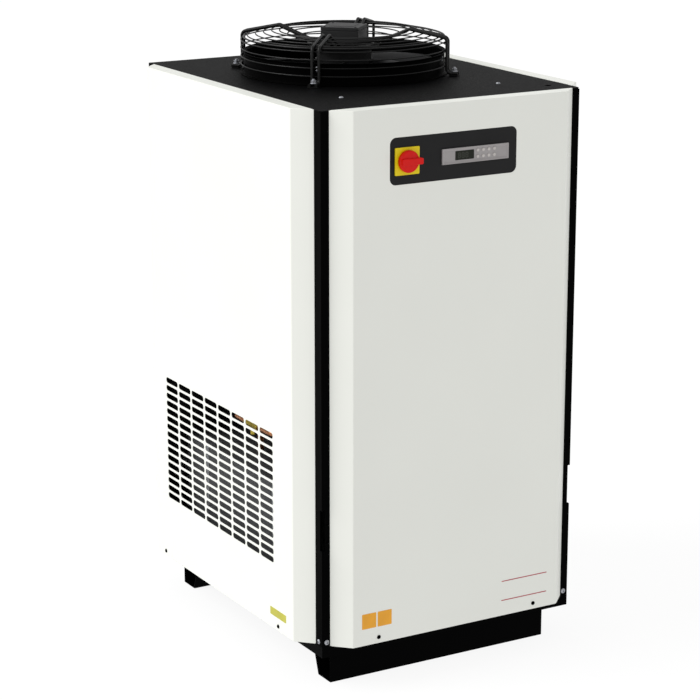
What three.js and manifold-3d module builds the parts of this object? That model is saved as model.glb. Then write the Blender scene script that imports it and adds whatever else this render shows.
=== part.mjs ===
// A refrigerated compressed-air dryer: a steel cabinet on two skids, with a finned condenser and an
// axial fan under a wire guard on top, a refrigerant circuit and an insulated air-to-air heat
// exchanger inside, and a control panel with a disconnect switch and a keypad controller in front.
// Millimetres, +Z up. The origin is on the floor at the middle of the plan; the front faces -Y.
import * as THREE from "three";
import { mergeGeometries, mergeVertices } from "three/addons/utils/BufferGeometryUtils.js";
import Module from "manifold-3d";

// ---- driving dimensions ----
const CABINET_WIDTH = 790; // over the two side panels
const FRAME_WIDTH = 709.6; // over the corner posts
const FRAME_FRONT = 454.8; // centre to the frame's front
const FRAME_REAR = 436;
const HALF_DEPTH = 516; // centre to the switch handle's tip, and to the air pipes' mouths
const FRONT_FACE = 496; // centre to the front panel's face

const SKID_HEIGHT = 87;
const SKID_LENGTH = 618;
const FRONT_SETBACK = 42; // a skid's vertical face to the frame's edge
const REAR_SETBACK = 53.2;
const SKID_FOOT = 60; // width of a skid where it stands
const SKID_FLARE = 30; // how much wider a skid is at its top
const TRAY_HEIGHT = 27.7;
const SHEET = 3; // frame, tray and top plate
const SKIN = 2; // panels
const GAP = 0.3; // between pieces that touch

const PANEL_BOTTOM = SKID_HEIGHT + TRAY_HEIGHT;
const PLATE_TOP = 1401.7;
const PANEL_TOP = 1402.5;
const FLANGE_WIDTH = 24.4; // panel's lower edge turned in; the upper one reaches the top plate
const RETURN_WIDTH = 20; // panel edge turned in along the post
const FRONT_FACE_HALF = 293; // half the flat of the front panel; its 45 degree bevels follow
const FRONT_BACK_HALF = 334.2;
const SIDE_FACE_HALF = 375.5;
const SIDE_BACK_HALF = 415.7;
const SIDE_MIDDLE = -10.1; // middle of a side panel; its grille is on the cabinet's centre

const POST_LEG = 45;
const NOTCH = { bottom: 357, top: 457, width: 9 };

const SLOT_COLUMNS = 8;
const SLOT_ROWS = 16;
const SLOT_PITCH = { across: 73.2, up: 20.8 };
const SLOT_SIZE = { across: 66.5, up: 14.5 };
const GRILLE_MIDDLE = 446.8;

const LIP_DEPTH = 27; // fold at the rear of the top plate
const LIFTING_HOLE = { x: 306, y: -393, radius: 8 };

const FAN_Y = 54;
const DRUM_RADIUS = 250;
const DRUM_TOP = 1456;
const DRUM_BOTTOM = 1365;
const GUARD_RADIUS = 258.5;
const ROD = 3.7; // radius of a guard arm's rods
const ROD_SPREAD = 8.5; // each rod from the middle of its arm
const WIRE = 1.7; // radius of the guard's rings
const SIDE_RINGS = [1425, 1444.5, 1464, 1483.5];
const TOP_RINGS = [240, 220, 200, 180, 160, 140, 120];
const ARM_ANGLES = [45, 135, 225, 315];
const FOOT_RADIUS = 281;
const FOOT_TOP = 1411.5; // top of the tabs that the guard's nuts hold down
const KNEE = { radius: 168, height: 1513 };
const CORNER = { radius: 261, height: 1494 };
const RING_SEGMENTS = 28;
const GUARD_SEGMENTS = 24;

const BOX_SIDE = 94; // the motor's terminal box, set cornerwise
const BOX_TOP = 1517;
const BLADES = 5;
const BLADE_TIP = 238;
const BLADE_PITCH = 26; // degrees
const ROTOR_RADIUS = 68;
const WHEEL_HEIGHT = 1415; // middle of the blades

const BEZEL = { x: -24.5, z: 1278, width: 346, height: 110, corner: 16 };
const SWITCH_X = -152;
const SWITCH_Z = 1277;
const CONTROLLER = { x: 33.5, z: 1277, width: 183, height: 36.5 };
const KEY_COLUMNS = [39.5, 54.8, 70.1, 85.4];
const KEY_ROWS = [1285.3, 1270.6];
const KEY_RADIUS = 4.6;

const EXCHANGER = { x0: -330, x1: -50, y0: -300, y1: 312, top: 443 };
const COMPRESSOR = { x: 120, y: 120, radius: 105, bottom: 131, top: 440 };
const COIL = { halfX: 262, halfY: 280, bottom: 1275, top: 1335 };
const AIR_PIPES = { inletX: -260, outletX: -120, z: 300, bore: 20, radius: 26 };
const REAR_SHEET = FRAME_REAR + GAP; // inner face of the rear panel
const REAR_DEPTH = 12;

const POST_X = FRAME_WIDTH / 2;
const FLOOR = SKID_HEIGHT + SHEET; // top of the tray's sheet

// ---- finishes ----
function finish(color, roughness, metalness = 0) {
  return { color, roughness, metalness };
}
const FINISH = {
  white: finish(0xe4e4de, 0.45),
  black: finish(0x101010, 0.5),
  plate: finish(0x2c2c2c, 0.55),
  wire: finish(0x181818, 0.4),
  plastic: finish(0x232323, 0.6),
  zinc: finish(0xb8bcc0, 0.35, 0.9),
  yellow: finish(0xf2c81e, 0.5),
  red: finish(0xc8241c, 0.4),
  silver: finish(0x9a9696, 0.4, 0.5),
  lens: finish(0x3c3e34, 0.15),
  key: finish(0xd6d2cc, 0.5),
  copper: finish(0xb8703c, 0.35, 0.9),
  brass: finish(0xc8a03a, 0.35, 0.9),
  aluminium: finish(0xb4b8ba, 0.4, 0.8),
  foam: finish(0xa8aaac, 0.9),
  steel: finish(0x8c9094, 0.45, 0.8),
};

// ---- solids ----
const wasm = await Module();
wasm.setup();

function toSolid(geometry) {
  const plain = geometry.clone();
  for (const name of Object.keys(plain.attributes)) {
    if (name !== "position") plain.deleteAttribute(name);
  }
  const merged = mergeVertices(plain, 1e-4);
  return new wasm.Manifold(new wasm.Mesh({
    numProp: 3,
    vertProperties: new Float32Array(merged.attributes.position.array),
    triVerts: new Uint32Array(merged.index.array),
  }));
}

function toGeometry(solid) {
  const mesh = solid.getMesh();
  const geometry = new THREE.BufferGeometry();
  geometry.setAttribute("position", new THREE.BufferAttribute(mesh.vertProperties, 3));
  geometry.setIndex(new THREE.BufferAttribute(mesh.triVerts, 1));
  geometry.computeVertexNormals();
  return geometry;
}

function join(...geometries) {
  return toGeometry(geometries.map(toSolid).reduce((a, b) => a.add(b)));
}

function cut(body, ...tools) {
  return toGeometry(tools.map(toSolid).reduce((a, b) => a.subtract(b), toSolid(body)));
}

function common(a, b) {
  return toGeometry(toSolid(a).intersect(toSolid(b)));
}

function box(x0, x1, y0, y1, z0, z1) {
  const geometry = new THREE.BoxGeometry(x1 - x0, y1 - y0, z1 - z0);
  return geometry.translate((x0 + x1) / 2, (y0 + y1) / 2, (z0 + z1) / 2);
}

// A polygon in plan, from one height to another.
function prism(points, z0, z1, holes = []) {
  const shape = new THREE.Shape(points.map(([x, y]) => new THREE.Vector2(x, y)));
  shape.holes = holes.map((hole) => new THREE.Path(hole.map(([x, y]) => new THREE.Vector2(x, y))));
  const geometry = new THREE.ExtrudeGeometry(shape, { depth: z1 - z0, bevelEnabled: false });
  return geometry.translate(0, 0, z0);
}

// A round bar or disc along +Z, then turned to lie along another axis if asked.
function bar(radius, from, to, segments = 16, axis = "z") {
  const geometry = new THREE.CylinderGeometry(radius, radius, to - from, segments);
  geometry.rotateX(Math.PI / 2).translate(0, 0, (from + to) / 2);
  if (axis === "y") geometry.rotateX(-Math.PI / 2);
  if (axis === "x") geometry.rotateY(Math.PI / 2);
  return geometry;
}

// A body turned about Z from pairs of radius and height, listed up the outside.
function turned(profile, segments = 24) {
  const points = profile.map(([radius, height]) => new THREE.Vector2(radius, height));
  return new THREE.LatheGeometry(points, segments).rotateX(Math.PI / 2);
}

function ringBetween(inner, outer, z0, z1, segments = RING_SEGMENTS) {
  return turned([[inner, z0], [outer, z0], [outer, z1], [inner, z1], [inner, z0]], segments);
}

// A rounded rectangle facing -Y, from one depth to another.
function roundedPlate(width, height, corner, y0, y1, segments = 4) {
  const w = width / 2;
  const h = height / 2;
  const shape = new THREE.Shape();
  shape.moveTo(-w + corner, -h);
  shape.lineTo(w - corner, -h);
  shape.absarc(w - corner, -h + corner, corner, -Math.PI / 2, 0);
  shape.lineTo(w, h - corner);
  shape.absarc(w - corner, h - corner, corner, 0, Math.PI / 2);
  shape.lineTo(-w + corner, h);
  shape.absarc(-w + corner, h - corner, corner, Math.PI / 2, Math.PI);
  shape.lineTo(-w, -h + corner);
  shape.absarc(-w + corner, -h + corner, corner, Math.PI, 1.5 * Math.PI);
  const options = { depth: y1 - y0, bevelEnabled: false, curveSegments: segments };
  return new THREE.ExtrudeGeometry(shape, options).rotateX(Math.PI / 2).translate(0, y1, 0);
}

// A rod or pipe along straight runs with a rounded bend at each corner.
function pipe(corners, radius, bend, sides = 8, steps = 20) {
  const points = corners.map(([x, y, z]) => new THREE.Vector3(x, y, z));
  const path = new THREE.CurvePath();
  let from = points[0];
  for (let i = 1; i < points.length - 1; i += 1) {
    const before = points[i - 1].clone().sub(points[i]).setLength(bend).add(points[i]);
    const after = points[i + 1].clone().sub(points[i]).setLength(bend).add(points[i]);
    path.add(new THREE.LineCurve3(from, before));
    path.add(new THREE.QuadraticBezierCurve3(before, points[i], after));
    from = after;
  }
  path.add(new THREE.LineCurve3(from, points[points.length - 1]));
  const section = new THREE.Shape();
  section.absarc(0, 0, radius, 0, 2 * Math.PI);
  const options = { extrudePath: path, steps, curveSegments: sides / 2, bevelEnabled: false };
  return new THREE.ExtrudeGeometry(section, options);
}

const assembly = new THREE.Group();

function add(name, geometry, look, parent = assembly) {
  const mesh = new THREE.Mesh(geometry, new THREE.MeshStandardMaterial(look));
  mesh.name = name;
  parent.add(mesh);
  return mesh;
}

// ---- base: skids and tray ----
function skid() {
  const wall = SHEET;
  const top = SKID_HEIGHT - GAP;
  const outline = [[0, 0], [SKID_FOOT, 0], [SKID_FOOT + SKID_FLARE, top], [0, top]];
  const hollow = [
    [wall, wall],
    [wall, top - wall],
    [SKID_FOOT + SKID_FLARE - 1.5 * wall, top - wall],
    [SKID_FOOT - 1.2 * wall, wall],
  ];
  const beam = prism(outline, -SKID_LENGTH / 2, SKID_LENGTH / 2, [hollow]);
  return beam.rotateX(Math.PI / 2).rotateZ(Math.PI / 2);
}

add("front_skid", skid(), FINISH.black).position.set(0, -FRAME_FRONT + FRONT_SETBACK, 0);
const rearSkid = add("rear_skid", skid(), FINISH.black);
rearSkid.rotation.z = Math.PI;
rearSkid.position.set(0, FRAME_REAR - REAR_SETBACK, 0);

// The tray is a shallow pan. At each corner an angle stands up inside the post that it carries.
function tray() {
  const pan = cut(
    box(-POST_X, POST_X, -FRAME_FRONT, FRAME_REAR, SKID_HEIGHT, PANEL_BOTTOM - GAP),
    box(
      -POST_X + SHEET, POST_X - SHEET, -FRAME_FRONT + SHEET, FRAME_REAR - SHEET,
      FLOOR, PANEL_BOTTOM,
    ),
  );
  const lugs = [-1, 1].flatMap((sx) => [-1, 1].map((sy) => {
    const x = sx * (POST_X - SHEET - GAP);
    const y = sy * ((sy < 0 ? FRAME_FRONT : FRAME_REAR) - SHEET - GAP);
    const leg = 38;
    const standing = 40;
    const outline = [
      [x, y],
      [x - sx * leg, y],
      [x - sx * leg, y - sy * SHEET],
      [x - sx * SHEET, y - sy * SHEET],
      [x - sx * SHEET, y - sy * leg],
      [x, y - sy * leg],
    ];
    return prism(outline, SKID_HEIGHT + 1, PANEL_BOTTOM + standing);
  }));
  return join(pan, ...lugs);
}
add("base_tray", tray(), FINISH.black);

// ---- corner posts ----
// An angle whose corner is at the origin, its legs running to +X and +Y. The front posts have a
// hand notch through the corner, and two holes beside it.
function post(notched) {
  const outline = [
    [0, 0],
    [POST_LEG, 0],
    [POST_LEG, SHEET],
    [SHEET, SHEET],
    [SHEET, POST_LEG],
    [0, POST_LEG],
  ];
  const angle = prism(outline, PANEL_BOTTOM, PLATE_TOP - SHEET - GAP);
  if (!notched) return angle;
  const { width, bottom, top } = NOTCH;
  const hole = (z) => bar(2.5, -10, 10, 8, "y").translate(15, 0, z);
  const notch = box(-width, width, -width, width, bottom, top);
  return cut(angle, notch, hole(bottom + 22), hole(top - 34));
}

for (const [name, sx, sy] of [
  ["post_front_left", 1, 1],
  ["post_front_right", -1, 1],
  ["post_rear_right", -1, -1],
  ["post_rear_left", 1, -1],
]) {
  const front = sy > 0;
  const mirrored = post(front).scale(sx, sy, 1);
  if (sx * sy < 0) mirrored.setIndex(flipped(mirrored));
  add(name, mirrored, FINISH.black).position.set(
    -sx * POST_X, front ? -FRAME_FRONT : FRAME_REAR, 0,
  );
}

// Turns every face of a mirrored mesh round again, so that it points out.
function flipped(geometry) {
  const count = geometry.index ? geometry.index.count : geometry.attributes.position.count;
  const order = geometry.index ? Array.from(geometry.index.array) : [...Array(count).keys()];
  for (let i = 0; i < count; i += 3) {
    [order[i + 1], order[i + 2]] = [order[i + 2], order[i + 1]];
  }
  return order;
}

// ---- top plate ----
// It covers the frame, level with the panels' top flanges, and turns down at the rear.
const PLATE_CORNER = 4; // cut off the front corners
function topPlate() {
  const outline = [
    [POST_X, FRAME_REAR],
    [-POST_X, FRAME_REAR],
    [-POST_X, -FRAME_FRONT + PLATE_CORNER],
    [-POST_X + PLATE_CORNER, -FRAME_FRONT],
    [POST_X - PLATE_CORNER, -FRAME_FRONT],
    [POST_X, -FRAME_FRONT + PLATE_CORNER],
  ];
  const sheet = prism(outline, PLATE_TOP - SHEET, PLATE_TOP);
  const lip = box(
    -POST_X, POST_X, FRAME_REAR - 1, FRAME_REAR + SHEET, PLATE_TOP - LIP_DEPTH, PLATE_TOP,
  );
  const underside = box(
    -POST_X - 1, POST_X + 1, FRAME_REAR - 2, FRAME_REAR + GAP,
    PLATE_TOP - LIP_DEPTH - 1, PLATE_TOP - SHEET,
  );
  const mouth = bar(DRUM_RADIUS + 1, PLATE_TOP - 20, PLATE_TOP + 20, RING_SEGMENTS);
  const liftingHole = bar(LIFTING_HOLE.radius, PLATE_TOP - 20, PLATE_TOP + 20, 12);
  return cut(
    join(sheet, lip),
    underside,
    mouth.translate(0, FAN_Y, 0),
    liftingHole.translate(LIFTING_HOLE.x, LIFTING_HOLE.y, 0),
  );
}
add("top_plate", topPlate(), FINISH.plate);

// ---- panels ----
// A folded sheet's section: the outer line, and the same line set in by the sheet's thickness.
function sheetOutline(line, thickness) {
  const inner = line.map(([x, y], i) => {
    const [px, py] = line[Math.max(i - 1, 0)];
    const [nx, ny] = line[Math.min(i + 1, line.length - 1)];
    const a = i > 0 ? unitNormal(px, py, x, y) : unitNormal(x, y, nx, ny);
    const b = i < line.length - 1 ? unitNormal(x, y, nx, ny) : a;
    const scale = thickness / (1 + a[0] * b[0] + a[1] * b[1]);
    return [x + (a[0] + b[0]) * scale, y + (a[1] + b[1]) * scale];
  });
  return [...line, ...inner.reverse()];
}

function unitNormal(x0, y0, x1, y1) {
  const length = Math.hypot(x1 - x0, y1 - y0);
  return [-(y1 - y0) / length, (x1 - x0) / length];
}

// A panel facing -Y whose back plane is y = 0: a flat face between two 45 degree bevels, edges
// turned in along the posts, a flange back to the top plate and a shorter one at the bottom.
function panel(faceHalf, backHalf, depth) {
  const line = [
    [-backHalf + RETURN_WIDTH, -GAP],
    [-backHalf, -GAP],
    [-faceHalf, -depth],
    [faceHalf, -depth],
    [backHalf, -GAP],
    [backHalf - RETURN_WIDTH, -GAP],
  ];
  const wall = prism(sheetOutline(line, SKIN), PANEL_BOTTOM, PANEL_TOP);
  const footprint = prism(line.slice(1, 5), PANEL_BOTTOM, PANEL_TOP);
  const top = box(-backHalf, backHalf, -depth, -GAP, PANEL_TOP - SKIN, PANEL_TOP);
  const y1 = -depth + FLANGE_WIDTH;
  const bottom = box(-backHalf, backHalf, -depth, y1, PANEL_BOTTOM, PANEL_BOTTOM + SKIN);
  return join(wall, common(join(top, bottom), footprint));
}

// One slot through a panel that faces -Y.
function slot(x, z, depth) {
  const { across, up } = SLOT_SIZE;
  return box(x - across / 2, x + across / 2, -depth - 10, -depth + 10, z - up / 2, z + up / 2);
}

function grillePanel(side) {
  const depth = CABINET_WIDTH / 2 - POST_X;
  const slots = [];
  for (let column = 0; column < SLOT_COLUMNS; column += 1) {
    for (let row = 0; row < SLOT_ROWS; row += 1) {
      const x = (column - (SLOT_COLUMNS - 1) / 2) * SLOT_PITCH.across - side * SIDE_MIDDLE;
      const z = GRILLE_MIDDLE + (row - (SLOT_ROWS - 1) / 2) * SLOT_PITCH.up;
      slots.push(slot(x, z, depth));
    }
  }
  return cut(panel(SIDE_FACE_HALF, SIDE_BACK_HALF, depth), mergeGeometries(slots));
}

function frontPanel() {
  const depth = FRONT_FACE - FRAME_FRONT;
  const { x, z, width, height, corner } = BEZEL;
  const window = roundedPlate(width, height, corner, -depth - 5, -depth + 10);
  return cut(panel(FRONT_FACE_HALF, FRONT_BACK_HALF, depth), window.translate(x, 0, z));
}

add("front_panel", frontPanel(), FINISH.white).position.y = -FRAME_FRONT;
for (const [name, side] of [["left_panel", -1], ["right_panel", 1]]) {
  const sidePanel = add(name, grillePanel(side), FINISH.white);
  sidePanel.rotation.z = side * Math.PI / 2;
  sidePanel.position.set(side * POST_X, SIDE_MIDDLE, 0);
}

// The rear panel is a shallow pan with holes for the pipes, the drain and the supply cable.
const CABLE_ENTRY = { x: 230, z: 1120 };
const DRAIN = { x: -20, z: 135 };
function rearPanel() {
  const half = POST_X - 4;
  const y0 = REAR_SHEET;
  const y1 = REAR_SHEET + REAR_DEPTH;
  const top = PLATE_TOP - LIP_DEPTH - GAP;
  const pan = cut(
    box(-half, half, y0, y1, PANEL_BOTTOM, top),
    box(-half + SKIN, half - SKIN, y0 - 1, y1 - SKIN, PANEL_BOTTOM + SKIN, top - SKIN),
  );
  const through = (radius, x, z) => bar(radius, y0 - 5, y1 + 5, 16, "y").translate(x, 0, z);
  return cut(
    pan,
    through(AIR_PIPES.radius + 4, AIR_PIPES.inletX, AIR_PIPES.z),
    through(AIR_PIPES.radius + 4, AIR_PIPES.outletX, AIR_PIPES.z),
    through(10, DRAIN.x, DRAIN.z),
    through(10.5, CABLE_ENTRY.x, CABLE_ENTRY.z),
  );
}
add("rear_panel", rearPanel(), FINISH.white);

// ---- fan ----
const fan = new THREE.Group();
fan.position.y = FAN_Y;
assembly.add(fan);

add("bell_mouth", turned([
  [DRUM_RADIUS - 3, DRUM_BOTTOM],
  [DRUM_RADIUS, DRUM_BOTTOM],
  [DRUM_RADIUS, PLATE_TOP + GAP],
  [DRUM_RADIUS + 9, PLATE_TOP + GAP],
  [DRUM_RADIUS + 9, PLATE_TOP + 3],
  [DRUM_RADIUS, PLATE_TOP + 3],
  [DRUM_RADIUS, DRUM_TOP - 6],
  [DRUM_RADIUS + 4, DRUM_TOP],
  [DRUM_RADIUS + 1, DRUM_TOP],
  [DRUM_RADIUS - 3, DRUM_TOP - 6],
  [DRUM_RADIUS - 3, DRUM_BOTTOM],
], RING_SEGMENTS), FINISH.black, fan);

// The height of an arm's centre line at a radius between its corner and the motor.
const MOTOR_RING = { inner: 58, outer: 92, bottom: 1473, top: 1476 };
const ARM_END = { radius: 84, height: 1478 };
function armHeight(radius) {
  const from = radius > KNEE.radius ? CORNER : ARM_END;
  const share = (radius - from.radius) / (KNEE.radius - from.radius);
  return from.height + share * (KNEE.height - from.height);
}

function guardRing(radius, height) {
  return new THREE.TorusGeometry(radius, WIRE, 3, GUARD_SEGMENTS).translate(0, 0, height);
}

// Four arms of two rods each rise from their feet, bend over a corner and a knee, and drop to the
// plate that the motor hangs from. The rings are welded inside them.
function fanGuard() {
  const rods = [];
  for (const angle of ARM_ANGLES) {
    const turn = THREE.MathUtils.degToRad(angle);
    for (const side of [-1, 1]) {
      const y = side * ROD_SPREAD;
      const rod = pipe([
        [CORNER.radius, y, FOOT_TOP - 2],
        [CORNER.radius, y, CORNER.height],
        [KNEE.radius, y, KNEE.height],
        [ARM_END.radius, y, ARM_END.height],
      ], ROD, 10, 4, 10);
      rods.push(rod.rotateZ(turn));
    }
    const tab = box(CORNER.radius - 6, FOOT_RADIUS + 11, -13, 13, FOOT_TOP - 4, FOOT_TOP);
    const spacer = bar(9, PLATE_TOP + GAP, FOOT_TOP - 1, 12).translate(FOOT_RADIUS, 0, 0);
    rods.push(tab.rotateZ(turn), spacer.rotateZ(turn));
  }
  const rings = [
    ...SIDE_RINGS.map((height) => guardRing(GUARD_RADIUS, height)),
    guardRing(GUARD_RADIUS - 5, CORNER.height),
    ...TOP_RINGS.map((radius) => guardRing(radius, armHeight(radius) - 2)),
  ];
  const { inner, outer, bottom, top } = MOTOR_RING;
  return join(ringBetween(inner, outer, bottom, top, 24), ...rods, ...rings);
}
add("fan_guard", fanGuard(), FINISH.wire, fan);

// A flanged nut on the end of its stud.
function guardNut() {
  const base = FOOT_TOP + GAP;
  const flange = bar(8.5, base, base + 2, 12);
  const nut = bar(7.2, base + 1, base + 8, 6);
  const stud = bar(3.5, base + 7, base + 11, 8);
  return join(flange, nut, stud);
}
ARM_ANGLES.forEach((angle, i) => {
  const turn = THREE.MathUtils.degToRad(angle);
  const nut = add(`guard_nut_${i + 1}`, guardNut(), FINISH.zinc, fan);
  nut.position.set(FOOT_RADIUS * Math.cos(turn), FOOT_RADIUS * Math.sin(turn), 0);
});

// The motor's still half: the stator pack on its fixed shaft, the flange under the guard's plate,
// and the boss that carries the terminal box.
const LID_HEIGHT = 9;
const BOX_BOTTOM = 1488;
add("fan_motor", turned([
  [0, 1384],
  [8, 1384],
  [8, 1400],
  [52, 1400],
  [52, 1464],
  [86, 1464],
  [86, MOTOR_RING.bottom - GAP],
  [54, MOTOR_RING.bottom - GAP],
  [40, BOX_BOTTOM - GAP],
  [0, BOX_BOTTOM - GAP],
], 16), FINISH.plastic, fan);

// The turning half: a cup around the stator, on a hub that runs on the shaft.
add("fan_rotor", turned([
  [0, 1376],
  [ROTOR_RADIUS - 6, 1376],
  [ROTOR_RADIUS, 1382],
  [ROTOR_RADIUS, 1462],
  [ROTOR_RADIUS - 5, 1462],
  [ROTOR_RADIUS - 5, 1386],
  [16, 1386],
  [16, 1397],
  [8.4, 1397],
  [8.4, 1383],
  [0, 1383],
], 20), FINISH.plastic, fan);

// One sickle blade, flat in section, from the hub band out to its tip.
function blade() {
  const root = ROTOR_RADIUS + 1.5;
  const shape = new THREE.Shape();
  shape.moveTo(root, -44);
  shape.quadraticCurveTo(150, -62, BLADE_TIP - 18, -96);
  shape.absarc(0, 0, BLADE_TIP, -0.36, 0.16);
  shape.quadraticCurveTo(160, 44, root, 44);
  const options = { depth: 3, bevelEnabled: false, curveSegments: 3 };
  const flat = new THREE.ExtrudeGeometry(shape, options).translate(0, 0, -1.5);
  return flat.rotateX(THREE.MathUtils.degToRad(BLADE_PITCH));
}

function impeller() {
  const low = WHEEL_HEIGHT - 28;
  const high = WHEEL_HEIGHT + 28;
  const band = ringBetween(ROTOR_RADIUS + GAP, ROTOR_RADIUS + 4, low, high, 20);
  const blades = [];
  for (let i = 0; i < BLADES; i += 1) {
    blades.push(blade().translate(0, 0, WHEEL_HEIGHT).rotateZ(i * 2 * Math.PI / BLADES));
  }
  const clear = bar(ROTOR_RADIUS + GAP, WHEEL_HEIGHT - 80, WHEEL_HEIGHT + 80, 20);
  return cut(join(band, ...blades), clear);
}
add("fan_impeller", impeller(), FINISH.plastic, fan);

// The terminal box, its lid and the cable gland on its right-hand face.
const terminalBox = new THREE.Group();
terminalBox.rotation.z = Math.PI / 4;
fan.add(terminalBox);
const halfBox = BOX_SIDE / 2;
const lidBase = BOX_TOP - LID_HEIGHT;
add("fan_terminal_box", cut(
  box(-halfBox, halfBox, -halfBox, halfBox, BOX_BOTTOM, lidBase - GAP),
  box(-halfBox + 3, halfBox - 3, -halfBox + 3, halfBox - 3, BOX_BOTTOM + 3, lidBase + 1),
), FINISH.plastic, terminalBox);
add("fan_terminal_lid", box(-halfBox, halfBox, -halfBox, halfBox, lidBase, BOX_TOP),
  FINISH.plastic, terminalBox);
add("fan_cable_gland", join(
  bar(8, 0, 5, 6, "x"),
  bar(6, 4, 15, 10, "x"),
), FINISH.plastic, terminalBox).position.set(halfBox + GAP, 0, BOX_BOTTOM + 10);

// ---- control panel ----
const BEZEL_FACE = -FRONT_FACE + 1; // the bezel sits just inside the panel's face
const BEZEL_BACK = BEZEL_FACE + 4;
const BEZEL_RIM = 8; // how far the bezel reaches behind the panel, all round its window
const SPINDLE = { radius: 4, hole: 6, back: -462 };

function spindleHole() {
  return bar(SPINDLE.hole, -520, SPINDLE.back + 5, 16, "y");
}

function bezel() {
  const { x, z, width, height, corner } = BEZEL;
  const clearance = 0.4;
  const plate = roundedPlate(
    width - 2 * clearance, height - 2 * clearance, corner - clearance, BEZEL_FACE, BEZEL_BACK,
  );
  const frameBack = BEZEL_BACK + 2;
  const rim = roundedPlate(
    width + 2 * BEZEL_RIM, height + 2 * BEZEL_RIM, corner + BEZEL_RIM,
    -FRONT_FACE + SKIN + GAP, frameBack,
  );
  const aperture = roundedPlate(CONTROLLER.width - 8, CONTROLLER.height - 6, 2, -510, -480, 2);
  return cut(
    join(plate, rim).translate(x, 0, z),
    aperture.translate(CONTROLLER.x, 0, CONTROLLER.z),
    spindleHole().translate(SWITCH_X, 0, SWITCH_Z),
  );
}
add("control_bezel", bezel(), FINISH.plastic);

// The disconnect switch: yellow plate, red handle with its spindle, and the body behind.
const PLATE_FRONT = BEZEL_FACE - 3.5;
const disconnect = new THREE.Group();
disconnect.position.set(SWITCH_X, 0, SWITCH_Z);
assembly.add(disconnect);

add("switch_plate", cut(
  roundedPlate(65, 64, 2.5, PLATE_FRONT, BEZEL_FACE - GAP),
  spindleHole(),
), FINISH.yellow, disconnect);

// The handle's grip in front view, which lies along X from behind the spindle to beyond its disc.
const GRIP = { back: -24, tip: 33, half: 7.5, corner: 3.5 };
function switchHandle() {
  const discFront = PLATE_FRONT - 12;
  const disc = bar(26, discFront, PLATE_FRONT - GAP, 32, "y");
  const { back, tip, half, corner } = GRIP;
  const shape = new THREE.Shape();
  shape.moveTo(back, -half);
  shape.lineTo(tip - corner, -half);
  shape.quadraticCurveTo(tip, -half, tip, -half + corner);
  shape.lineTo(tip, half - corner);
  shape.quadraticCurveTo(tip, half, tip - corner, half);
  shape.lineTo(back, half);
  const depth = HALF_DEPTH + PLATE_FRONT - 3;
  const options = { depth, bevelEnabled: false, curveSegments: 3 };
  const grip = new THREE.ExtrudeGeometry(shape, options).rotateX(Math.PI / 2);
  const spindle = bar(SPINDLE.radius, PLATE_FRONT - 5, SPINDLE.back, 12, "y");
  return join(disc, grip.translate(0, PLATE_FRONT - 3, 0), spindle);
}
add("switch_handle", switchHandle(), FINISH.red, disconnect);
add("switch_body", cut(
  box(-30, 30, BEZEL_BACK + 2.5, -430, -30, 30),
  spindleHole(),
), FINISH.plastic, disconnect);

// The controller: a bezelled housing that reaches back through the control panel, with a display
// lens and eight keys let into its face.
const controller = new THREE.Group();
controller.position.set(CONTROLLER.x, 0, CONTROLLER.z);
assembly.add(controller);
const HOUSING_FRONT = BEZEL_FACE - 4;
const LENS = { x: -29.7, width: 52, height: 22 };
const keys = [];
KEY_ROWS.forEach((z) => KEY_COLUMNS.forEach((x) => {
  keys.push([x - CONTROLLER.x, z - CONTROLLER.z]);
}));

function controllerHousing() {
  const { width, height } = CONTROLLER;
  const rim = roundedPlate(width, height, 1.5, HOUSING_FRONT, BEZEL_FACE - GAP, 1);
  const halfBody = { x: width / 2 - 5, z: height / 2 - 3.75 };
  const body = box(-halfBody.x, halfBody.x, BEZEL_FACE - 1, -440, -halfBody.z, halfBody.z);
  const window = box(
    LENS.x - LENS.width / 2, LENS.x + LENS.width / 2, HOUSING_FRONT - 5, HOUSING_FRONT + 2,
    -LENS.height / 2, LENS.height / 2,
  );
  const wells = keys.map(([x, z]) => {
    const well = bar(KEY_RADIUS + 0.4, HOUSING_FRONT - 5, HOUSING_FRONT + 4, 12, "y");
    return well.translate(x, 0, z);
  });
  return cut(join(rim, body), window, ...wells);
}
add("controller_housing", controllerHousing(), FINISH.silver, controller);
add("controller_lens", box(
  LENS.x - LENS.width / 2 + GAP, LENS.x + LENS.width / 2 - GAP,
  HOUSING_FRONT + 0.4, HOUSING_FRONT + 2 - GAP,
  -LENS.height / 2 + GAP, LENS.height / 2 - GAP,
), FINISH.lens, controller);
keys.forEach(([x, z], i) => {
  const key = bar(KEY_RADIUS, HOUSING_FRONT - 1, HOUSING_FRONT + 2.8, 12, "y");
  add(`key_${i + 1}`, key, FINISH.key, controller).position.set(x, 0, z);
});

// ---- electrical box behind the front panel ----
const ELECTRICAL = {
  halfX: 240,
  bottom: 860,
  top: 1160,
  front: -FRAME_FRONT + SHEET + GAP,
  depth: 150,
};
function electricalBox() {
  const { halfX, bottom, top, front, depth } = ELECTRICAL;
  const pan = box(-halfX, halfX, front, front + depth, bottom, top);
  const inside = box(-halfX + SKIN, halfX - SKIN, front - 1, front + depth - SKIN,
    bottom + SKIN, top - SKIN);
  const ear = POST_X - SHEET - GAP;
  const ears = box(-ear, ear, front, front + SKIN, bottom + 20, top - 20);
  return cut(join(pan, ears), inside);
}
add("electrical_box", electricalBox(), FINISH.steel);
add("electrical_cover", box(
  -ELECTRICAL.halfX + 4, ELECTRICAL.halfX - 4,
  ELECTRICAL.front - GAP - SKIN, ELECTRICAL.front - GAP,
  ELECTRICAL.bottom + 4, ELECTRICAL.top - 4,
), FINISH.steel);

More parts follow.
